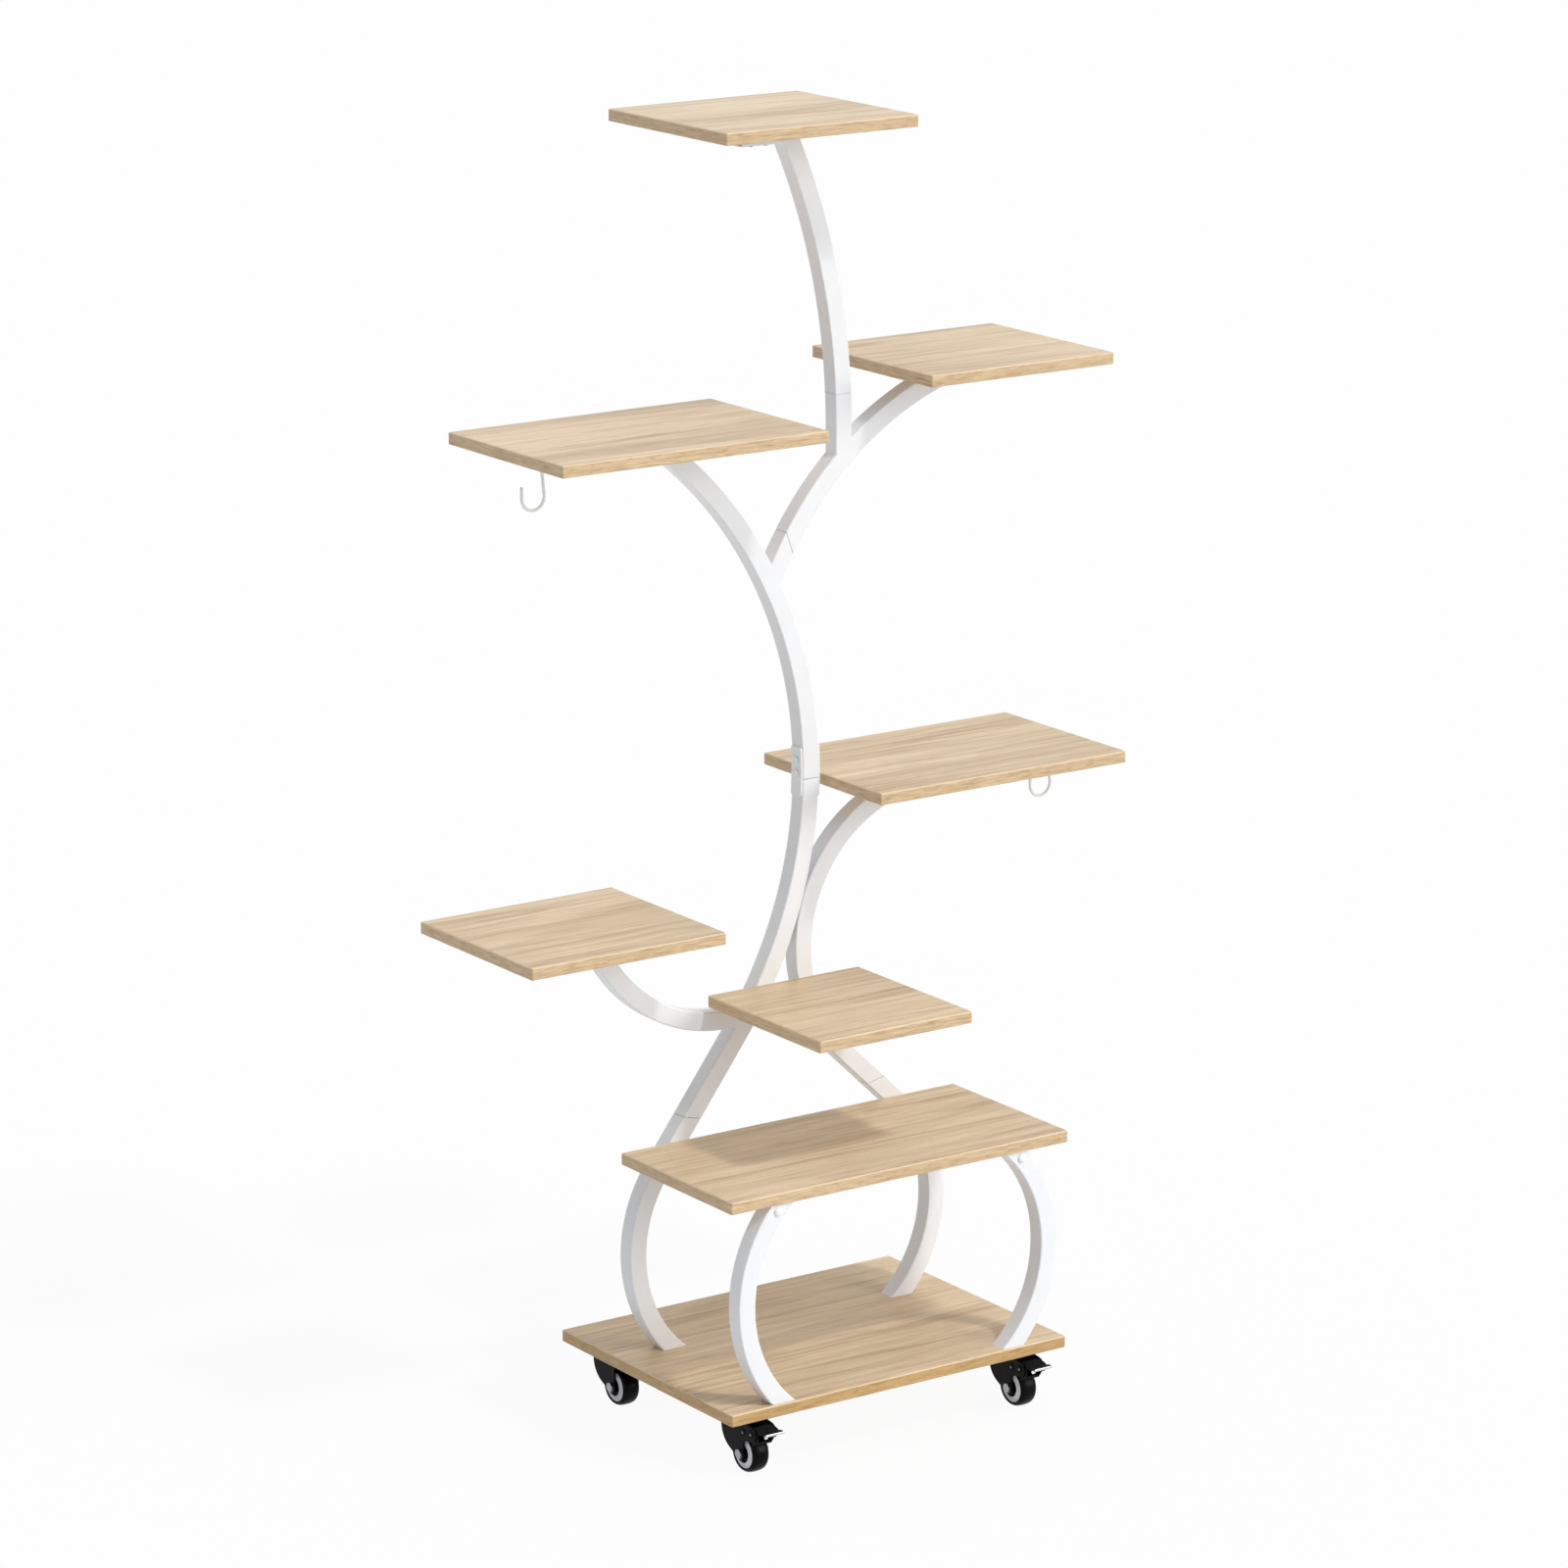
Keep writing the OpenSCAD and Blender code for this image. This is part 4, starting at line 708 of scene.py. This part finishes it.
def hexagon(spot, axis, flats, height, turn):
    # A six-sided head or nut, its corners rounded off by a cone
    point, radius = aimed(spot, axis), flats / 2 / cos(pi / 6)
    ends = [[point(*polar(radius, 60 * i + turn), level) for i in range(6)] for level in (0, height)]
    cone = lathe(spot, axis, [(0, -1), (radius + 3, -1), (radius + 3, height - 4.5 / radius),
                              (radius - 0.45, height), (0, height)], 48)
    return combine(solidBetween(*ends), cone, "INTERSECT")


def makeTopPlates():
    outline = roundedSquare(caster["plateSize"], caster["plateCorner"], 5)
    reach, deep, sheet = caster["raceRadius"], caster["raceDepth"], caster["plateSheet"]
    race = [(0, -0.5), (reach - 3, -0.5), (reach - 1.6, 0.3), (reach - 0.4, 1.1), (reach, 1.9),
            (reach - 0.2, deep), (0, deep)]
    meshes = []
    for corner in corners:
        point = atCaster(corner)
        plate = solidBetween(*[[point(x, y, z) for x, y in outline] for z in (0, -sheet)])
        meshes.append(combine(plate, lathe(point(0, 0, -sheet), down, race, 64), "UNION"))
    newPiece("caster_top_plates", joinMeshes(meshes), "stand", [blackSheet], "caster_plates",
             edgeRound=0.3)


# Front of a fork's side view, with a brake and without
forkBelts = {
    True: [(16.73, -7.0, 2.0), (-15.5, -7.0, 2.0), (-29.4, -15.0, 7.5), (-21.2, -29.0, -5.0)],
    False: [(16.73, -7.0, 2.0), (-15.5, -7.0, 2.0), (-24.6, -30.0, -8.4)],
}


def makeFork(corner):
    braked = corner.startswith("front")
    point, body = atCaster(corner), "caster_" + corner
    inner, outer, top, play = caster["forkInner"], forkOuter, caster["crownTop"], caster["play"]
    belt = forkBelts[braked] + [(trail, drop, caster["eyeRadius"]), caster["back"]]
    fork = across(point, beltOutline(belt), -outer, outer)
    arch = []
    for reach, level, radius, order in ((outer, top, caster["crownBend"], 1),
                                        (inner, top - caster["sheet"], caster["innerBend"], -1)):
        line = [(-reach, -60.0)]
        for side, fromAngle in ((-1, 180), (1, 90)):
            line += [onCircle((side * (reach - radius), level - radius), radius, fromAngle - 15 * i)
                     for i in range(7)]
        line.append((reach, -60.0))
        arch += line[::order]
    fork = combine(fork, along(point, arch, -60, 60), "INTERSECT")
    front = caster["crownFront"]
    fork = combine(fork, across(point, [(-60, 5), (front, 5), (front, -9), (-60, -9)], -inner, inner),
                   "DIFFERENCE")
    disc = plug(point(0, 0, top), down, caster["crownDisc"], caster["crownDiscSheet"], 64,
                caster["pinRadius"] + play)
    fork = combine(fork, disc, "UNION")
    bore = plug(point(-outer - 2, trail, drop), right, caster["boltRadius"] + play, 2 * outer + 4, 48)
    newPiece("fork_sheet_" + corner, combine(fork, bore, "DIFFERENCE"), body, [blackSheet],
             "fork_" + corner, edgeRound=0.35)
    if not braked:
        return
    # Brake pivot and rivet: a dark round boss with a steel domed head on each side
    reach, high = caster["bossRadius"], caster["bossHeight"]
    boss = [(0, -0.3), (reach, -0.3), (reach, high - 0.35), (reach - 0.12, high - 0.1), (reach - 0.4, high),
            (reach - 1.1, high), (reach - 1.5, high - 0.35), (0, high - 0.35)]
    reach, high = caster["rivetRadius"], caster["rivetHeight"]
    head = [(0, 0.1), (reach, 0.1), (reach, high * 0.45), (reach * 0.9, high * 0.72),
            (reach * 0.62, high * 0.93), (0, high)]
    for name in ("pivot", "rivet"):
        y, z = pedal[name]
        spots = [(point(-outer, y, z), left), (point(outer, y, z), right)]
        heads = [lathe(*spot, head, 32) for spot in spots]
        if name == "pivot":
            heads.append(plug(point(-outer, y, z), right, caster["pivotPin"], 2 * outer, 32))
        newPiece(name + "_boss_" + corner, joinMeshes([lathe(*spot, boss, 40) for spot in spots]), body,
                 [blackSheet], smoothAngle=40)
        newPiece(name + "_head_" + corner, joinMeshes(heads), body, [dullSteel], smoothAngle=40)


def makeAxleBolt(corner):
    point, inHead = atCaster(corner), 0.5
    radius, flats, chamfer = caster["boltRadius"], caster["boltFlats"], caster["boltChamfer"]
    end = inHead + 2 * forkOuter + caster["nutHeight"] + caster["boltEnd"]
    head = hexagon(point(-forkOuter, trail, drop), left, flats, caster["boltHead"], -caster["boltTurn"])
    shank = lathe(point(-forkOuter - inHead, trail, drop), right,
                  [(0, 0), (radius, 0), (radius, end - chamfer), (radius - chamfer, end), (0, end)], 40)
    nut = hexagon(point(forkOuter, trail, drop), right, flats, caster["nutHeight"], caster["nutTurn"])
    hole = plug(point(forkOuter - 1, trail, drop), right, radius + caster["play"],
                caster["nutHeight"] + 3, 40)
    meshes = [combine(head, shank, "UNION"), combine(nut, hole, "DIFFERENCE")]
    newPiece("axle_bolt_" + corner, joinMeshes(meshes), "caster_" + corner, [zincSteel],
             "axle_" + corner, 25, 0.22)


def bothSides(halfProfile):
    # Mirrors a profile of (radius, reach) to the minus side, as one closed loop
    return halfProfile + [(radius, -reach) for radius, reach in reversed(halfProfile)]


def makeWheel(corner):
    spot, body = atCaster(corner)(0, trail, drop), "wheel_" + corner
    big, wide, outer, inner = wheel["radius"], wheel["half"], wheel["ringOuter"], wheel["ringInner"]
    tyre = [(outer + caster["play"] + rise, wide + reach) for rise, reach in wheel["shoulder"]]
    tyre += [(big - sink, wide - reach) for sink, reach in wheel["tread"]] + [(big, wheel["flatHalf"])]
    newPiece("tyre_tread_" + corner, lathe(spot, right, bothSides(tyre), 160), body, [tyreBlack],
             "tyre_" + corner, 50)
    ring = [(inner, 8.9), (inner, 9.75), (inner + 0.12, 9.9), (inner + 0.85, 9.9), (inner + 1.0, 9.75),
            (inner + 1.05, 9.15), (inner + 1.35, 8.95), (outer - 1.35, 7.62), (outer - 1.1, 7.65),
            (outer - 1.0, 8.25), (outer - 0.85, 8.4), (outer - 0.12, 8.4), (outer, 8.25)]
    mesh = lathe(spot, right, bothSides(ring), 128)
    newPiece("ring_dish_" + corner, mesh, body, [ringRim, ringGreyPaintedShade], "ring_" + corner, 32)
    # The dish's middle faces take the darker finish, painted shade of the hollow between the rims
    for face in mesh.polygons:
        reach, y, z = 1000 * (face.center - spot)
        if inner + 1.02 < hypot(y, z) < outer - 1.02 and abs(reach) > 4:
            face.material_index = 1
    bore, boss, hub = wheel["bore"], wheel["boss"], inner - caster["play"]
    core = [(bore, 10.1), (bore + 0.15, 10.2), (boss - 0.3, 10.2), (boss, 9.9), (boss, 7.5),
            (boss + 0.3, 7.2), (hub - 1.1, 7.2), (hub - 0.8, 7.5), (hub - 0.7, 8.4), (hub, 8.6)]
    newPiece("hub_core_" + corner, lathe(spot, right, bothSides(core), 96), body, [blackPlastic],
             "core_" + corner, 32)


def hoodOutline():
    # Side view of the pedal's hood: ridged on top, with a flange and a lip in front
    def topLevel(y):
        if y > pedal["bend"]:
            return pedal["hoodTop"]
        return pedal["hoodTop"] - pedal["radius"] + reachAt(pedal["radius"], y - pedal["bend"])

    points = []
    y = pedal["back"]
    while y > pedal["ridgeFrom"]:
        points.append((y, topLevel(y)))
        y -= 2.0
    y = pedal["ridgeFrom"]
    while y > pedal["ridgeTo"]:
        level = topLevel(y)
        points += [(y, level), (y - 0.25, level - pedal["ridgeHeight"]),
                   (y - 0.55, level - pedal["ridgeHeight"]), (y - 0.8, topLevel(y - 0.8))]
        y -= pedal["ridgePitch"]
    points += pedal["flangeTop"] + pedal["flangeUnder"]
    return points + [(y, topLevel(y) - pedal["sheet"]) for y in pedal["hoodUnder"]]


def makePedal(corner):
    point = atCaster(corner)
    outer, cheek, step = pedal["cheekOuter"], pedal["cheek"], pedal["step"]
    (py, pz), (sy, sz), shoeRadius = pedal["pivot"], pedal["shoe"], pedal["shoeRadius"]
    # The hood is narrower over the fork, then come the cheeks, the shoe between them and the nub
    hood = across(point, hoodOutline(), -pedal["half"], pedal["half"])
    trim = [across(point, [(step, 0), (0, 0), (0, -40), (step, -40)], *edge)
            for edge in ((-pedal["half"] - 2, -outer), (outer, pedal["half"] + 2))]
    hood = combine(hood, joinMeshes(trim), "DIFFERENCE")
    cheekOutline = beltOutline(pedal["cheekTop"] + [(sy, sz, shoeRadius)])
    shoeOutline = beltOutline([(sy + 0.01, sz, shoeRadius - 0.02), (sy - 0.01, sz, shoeRadius - 0.02)])
    for outline, fromX, toX in ((cheekOutline, -outer, -outer + cheek),
                                (cheekOutline, outer - cheek, outer),
                                (shoeOutline, -outer + 0.4, outer - 0.4),
                                (beltOutline(pedal["nub"]), -pedal["nubHalf"], pedal["nubHalf"])):
        hood = combine(hood, across(point, outline, fromX, toX), "UNION")
    hole = plug(point(-outer - 1, py, pz), right, pedal["pivotBore"], 2 * outer + 2, 32)
    hood = combine(hood, hole, "DIFFERENCE")
    newPiece("brake_pedal_" + corner, hood, "brake_" + corner, [blackSheet, lipSteel],
             "pedal_" + corner, edgeRound=0.12)
    lip = point(0, pedal["lipFront"], pedal["lipTop"])
    for face in hood.polygons:
        if face.center.y < lip.y and abs(face.normal.x) < 0.5 and face.center.z < lip.z:
            face.material_index = 1


makeTopPlates()
for corner in corners:
    makeFork(corner)
    makeAxleBolt(corner)
    makeWheel(corner)
    if corner.startswith("front"):
        makePedal(corner)
print("casters made")


# Small fittings
fittings = {
    "boltRadius": 2.5, "headRadius": 4.2, "headHeight": 3.1, "domeAngles": (25, 40, 52, 63, 73, 82, 90),
    "plateLength": 51.0, "plateWidth": 17.0, "plateSheet": 1.5, "plateGap": 0.1, "plateCorner": 3.0,
    "spliceBolts": (5.0, 18.5), "angleGrip": 22.0, "angleBend": 1.6,
    "angleWidth": 14.0, "angleFlange": 20.0, "angleDrop": 11.0, "angleSheet": 2.0, "boltDrop": 7.0,
    "screwHead": 3.4, "screwHeadHeight": 1.8, "screwRadius": 1.9, "screwLength": 27.5,
    "screwOffsets": (-14.5, 2.5), "slot": (0.0036, 0.0008, 0.0022), "slotTurn": 20,
    "wire": 1.5, "hookRadius": 12.5, "hookDrop": 52.0, "hookInset": 31.0, "hookLean": 6.0, "hookTip": 10.0,
    "hookBite": 6.0,
}


def buttonBolt(spot, axis, grip):
    # Low round head, its seat at the spot, its shank against the axis
    reach, high, radius = fittings["headRadius"], fittings["headHeight"], fittings["boltRadius"]
    dome = [(reach * sin(radians(angle)), high * (0.28 + 0.72 * cos(radians(angle))))
            for angle in fittings["domeAngles"]]
    return lathe(spot, axis, [(0, high)] + dome + [(reach, 0.35), (reach - 0.25, 0), (radius, 0),
                                                   (radius, -grip), (0, -grip)], 40)


def splicePlate(inner):
    # A plate bent to the trunk, its corners rounded
    width, corner = fittings["plateWidth"] / 2, fittings["plateCorner"]
    straight, count = fittings["plateLength"] / 2 - corner, 10
    rounded = [onCircle((straight, width - corner), corner, 15 * i) for i in range(7)]
    levels = rounded + [(straight - 2 * straight * i / count, width) for i in range(1, count)]
    levels += [(-rise, reach) for rise, reach in reversed(rounded)]
    bm = bmesh.new()
    rings = []
    for rise, reach in levels:
        ring = []
        for radius, ways in ((inner, (-1, 1)), (inner + fittings["plateSheet"], (1, -1))):
            x, z = onCircle(trunkMiddle, radius, degrees(rise / trunkRadius))
            ring += [bm.verts.new(place(x, way * reach, z)) for way in ways]
        rings.append(ring)
    bridge(bm, rings)
    for ring in (rings[0], rings[-1]):
        bm.faces.new(ring)
    return toMesh(bm)


plateOut = fittings["plateGap"] + fittings["plateSheet"]
plates = [splicePlate(trunkRadius - half - plateOut), splicePlate(trunkRadius + half + fittings["plateGap"])]
# The plates and bolts take the lighter white, partly painted light
newPiece("splice_plates_bent", joinMeshes(plates), "stand", [boltWhitePaintedLight], "splice_plates",
         40, 0.3)

bolts = []
for rise in fittings["spliceBolts"]:
    level = spliceZ + rise
    reach = abs(level - trunkMiddle[1]) + fittings["headRadius"]
    grip = half + plateOut + 0.05 + trunkRadius - reachAt(trunkRadius, reach)
    bolts.append(buttonBolt(place(trunkMiddle[0] + trunkRadius - grip, 0, level), left, 2 * grip - 0.5))
newPiece("splice_button_bolts", joinMeshes(bolts), "stand", [boltWhitePaintedLight], "splice_bolts")


# Angles under the two low shelves: x, y of the tube's face, the shelf's underside, way of the flange
boltX = legMiddle + reachAt(legRadius, underOf("low_shelf") - fittings["boltDrop"] - legZ)
frontBoltZ = underOf("front_shelf") - fittings["boltDrop"]
frontLeftX = trunkMiddle[0] + reachAt(trunkRadius, trunkMiddle[1] - frontBoltZ)
frontRightX = rightMiddle[0] - reachAt(rightRadius, rightMiddle[1] - frontBoltZ)
angles = [(side * boltX, y, underOf("low_shelf"), way) for side in (-1, 1)
          for y, way in ((frontLegY + half, 1), (-half, -1))]
angles += [(x, -half, underOf("front_shelf"), -1) for x in (frontLeftX, frontRightX)]


def angleSheet(x, y, under, way):
    width, flange, sheet = fittings["angleWidth"] / 2, fittings["angleFlange"], fittings["angleSheet"]
    upright, bend = fittings["angleDrop"], fittings["angleBend"]
    outline = [(0.0, -upright), (0.0, -bend)]
    outline += [onCircle((bend, -bend), bend, 180 - angle) for angle in (30, 60)]
    outline += [(bend, 0.0), (flange, 0.0), (flange, -sheet), (sheet + 0.6, -sheet), (sheet, -sheet - 0.6),
                (sheet, -upright)]
    return across(lambda px, py, pz: place(x + px, y + way * py, under + pz), outline, -width, width)


newPiece("shelf_angles_bent", joinMeshes([angleSheet(*angle) for angle in angles]), "stand", [whitePowder],
         "shelf_angles", edgeRound=0.4)
bolts = [buttonBolt(place(x, y - way * tube["size"], under - fittings["boltDrop"]), Vector((0, -way, 0)),
                    fittings["angleGrip"]) for x, y, under, way in angles]
newPiece("angle_button_bolts", joinMeshes(bolts), "stand", [boltWhitePaintedLight], "angle_bolts")


def panScrew(spot):
    # Screw up into a shelf: rounded head with a cross slot
    reach, high, radius = fittings["screwHead"], fittings["screwHeadHeight"], fittings["screwRadius"]
    screw = lathe(spot, down, [(0, high), (reach * 0.5, high * 0.95), (reach * 0.8, high * 0.7),
                               (reach * 0.96, high * 0.35), (reach, 0), (radius, 0),
                               (radius, -fittings["screwLength"]), (0, -fittings["screwLength"])], 32)
    slots = []
    for turn in (0, 90):
        turned = Matrix.Rotation(radians(turn + fittings["slotTurn"]), 3, "Z")
        bm = bmesh.new()
        bmesh.ops.create_cube(bm, size=1.0)
        bmesh.ops.scale(bm, vec=fittings["slot"], verts=bm.verts)
        bmesh.ops.rotate(bm, cent=(0, 0, 0), matrix=turned, verts=bm.verts)
        bmesh.ops.translate(bm, vec=spot - Vector((0, 0, high / 1000)), verts=bm.verts)
        slots.append(toMesh(bm))
    return combine(screw, combine(*slots, "UNION"), "DIFFERENCE")


screws = [panScrew(place(middleOf(shelf) + offsetX, 0, underOf(shelf) - tube["size"]))
          for shelf in boards[3:] for offsetX in fittings["screwOffsets"]]
newPiece("shelf_pan_screws", joinMeshes(screws), "stand", [zincSteel], "shelf_screws")


def makeHook(node, shelf, side):
    # Wire hook: a short upright tip, a half round and a stem up into the shelf
    radius, wire, leanBack = fittings["hookRadius"], fittings["wire"], fittings["hookLean"]
    bendDrop = fittings["hookDrop"] - radius - wire
    endX = 1000 * boxOf[shelf][0 if side < 0 else 1].x - shiftX
    middleX, middleZ = endX - side * fittings["hookInset"], underOf(shelf) - bendDrop
    path = [(-radius, fittings["hookTip"] * (1 - i / 8)) for i in range(8)]
    path += [polar(radius, 180 + (180 + leanBack) * i / 40) for i in range(41)]
    bendEnd = path[-1]
    path += [onCircle(bendEnd, (bendDrop + fittings["hookBite"]) * i / 8, 90 + leanBack) for i in range(1, 9)]
    dome = [(0.0, 1.0), (0.55, 0.85), (0.85, 0.5)]
    spots = [(path[0][0], path[0][1] + rise * wire, share) for share, rise in dome]
    spots += [(x, z, 1.0) for x, z in path]
    bm = bmesh.new()
    rings = []
    for i, (x, z, share) in enumerate(spots):
        (x0, z0, _), (x1, z1, _) = spots[max(0, i - 1)], spots[min(len(spots) - 1, i + 1)]
        length = hypot(x1 - x0, z1 - z0)
        nx, nz = (z0 - z1) / length, (x1 - x0) / length
        ring = [polar(wire * share, 18 * k) for k in range(20 if share else 1)]
        rings.append([bm.verts.new(place(middleX + x + nx * out, y, middleZ + z + nz * out))
                      for out, y in ring])
    bridge(bm, rings)
    bm.faces.new(list(reversed(rings[-1])))
    newPiece(node + "_wire", toMesh(bm), "stand", [whitePowder], node, 50)


makeHook("left_hook", "left_high_shelf", -1)
makeHook("right_hook", "right_mid_shelf", 1)
print("fittings made")


# Nodes of the part that stay as they are: screws, spigots and pins, each with its own finish
staying = {
    "kingpins": brightSteel, "caster_screws": zincSteel, "angle_screws": zincSteel, "foot_screws": zincSteel,
    "leg_spigots": dullSteel, "branch_spigots": dullSteel,
}
for node, piece in frame["nodes"].items():
    if node in staying and not piece.material_slots:
        piece.data.materials.append(staying[node])
    for slot in piece.material_slots:
        slot.link = "OBJECT"
        slot.material = staying.get(node, whitePowder)
print("carried-over nodes dressed")


# Camera at the photograph's angle
view = {
    "place": (-3.2560, -4.6358, 2.0882), "turn": (75.62, 0.0, -34.796), "lens": 138.845, "sensor": 36.0,
    "clip": (0.1, 80.0),
}
cameraData = bpy.data.cameras.new("camera")
cameraData.lens = view["lens"]
cameraData.sensor_width = view["sensor"]
cameraData.clip_start, cameraData.clip_end = view["clip"]
camera = newObject("camera", cameraData)
camera.location = view["place"]
camera.rotation_euler = [radians(angle) for angle in view["turn"]]
bpy.context.scene.camera = camera

# Studio light: a key from above the front, a wide soft lamp from the front right, a wider one from above
# and an even pale room. A lamp has its way, its width in degrees and its strength
light = {
    "lamps": {"keyLight": ((0.24, -0.68, 1.00), 6.0, 1.08), "sideLight": ((0.56, -0.78, 0.32), 30.0, 1.22),
              "topLight": ((0.05, 0.05, 1.00), 75.0, 0.70)},
    "lampColor": (1.0, 0.975, 0.945),
    "room": 0.36, "roomColor": (0.95, 1.0, 1.07), "roomSeen": 1.0,
    "floorColor": (0.82, 0.82, 0.82), "floorRoughness": 0.9, "floorSpecular": 0.1, "floorSeen": 0.94,
    "floorReach": 30.0,
}
for name, (way, width, strength) in light["lamps"].items():
    data = bpy.data.lights.new(name, "SUN")
    data.color = light["lampColor"]
    data.angle = radians(width)
    data.energy = strength
    lamp = newObject(name, data)
    lamp.location = Vector(way) * 3
    lamp.rotation_euler = (-Vector(way)).to_track_quat("-Z", "Y").to_euler()


def seenDirectly(net):
    # 1 for what the camera, a gloss or a glass sees directly, else 0
    path = net.nodes.new("ShaderNodeLightPath")
    seen = path.outputs["Is Camera Ray"]
    for ray in ("Is Glossy Ray", "Is Transmission Ray"):
        either = addNode(net, "ShaderNodeMath", operation="MAXIMUM")
        net.links.new(seen, either.inputs[0])
        net.links.new(path.outputs[ray], either.inputs[1])
        seen = either.outputs[0]
    return seen


def mixSurfaces(net, factor, first, second, target):
    mix = net.nodes.new("ShaderNodeMixShader")
    for number, source in enumerate((factor, first.outputs[0], second.outputs[0])):
        net.links.new(source, mix.inputs[number])
    net.links.new(mix.outputs[0], target)


world = bpy.data.worlds.new("studio")
bpy.context.scene.world = world
world.use_nodes = True
net = world.node_tree
net.nodes.clear()
output = net.nodes.new("ShaderNodeOutputWorld")
lit = addNode(net, "ShaderNodeBackground", Color=(*light["roomColor"], 1), Strength=light["room"])
seen = addNode(net, "ShaderNodeBackground", Color=(1, 1, 1, 1), Strength=light["roomSeen"])
mixSurfaces(net, seenDirectly(net), lit, seen, output.inputs["Surface"])

reach = light["floorReach"]
floorMesh = bpy.data.meshes.new("floor")
floorMesh.from_pydata([(-reach, -reach, 0), (reach, -reach, 0), (reach, reach, 0), (-reach, reach, 0)], [],
                      [(0, 1, 2, 3)])
floor = newObject("floor", floorMesh)
floorMaterial, net, shader = newMaterial("paleFloor")
setValues(shader, Base_Color=(*light["floorColor"], 1), Roughness=light["floorRoughness"],
          Specular_IOR_Level=light["floorSpecular"])
glow = addNode(net, "ShaderNodeEmission", Color=(1, 1, 1, 1), Strength=1.0)
share = addNode(net, "ShaderNodeMath", operation="MULTIPLY")
share.inputs[1].default_value = light["floorSeen"]
net.links.new(seenDirectly(net), share.inputs[0])
mixSurfaces(net, share.outputs[0], shader, glow, net.nodes["Material Output"].inputs["Surface"])
floorMesh.materials.append(floorMaterial)

bpy.context.scene.view_settings.view_transform = "Standard"
print("camera, floor and light made")
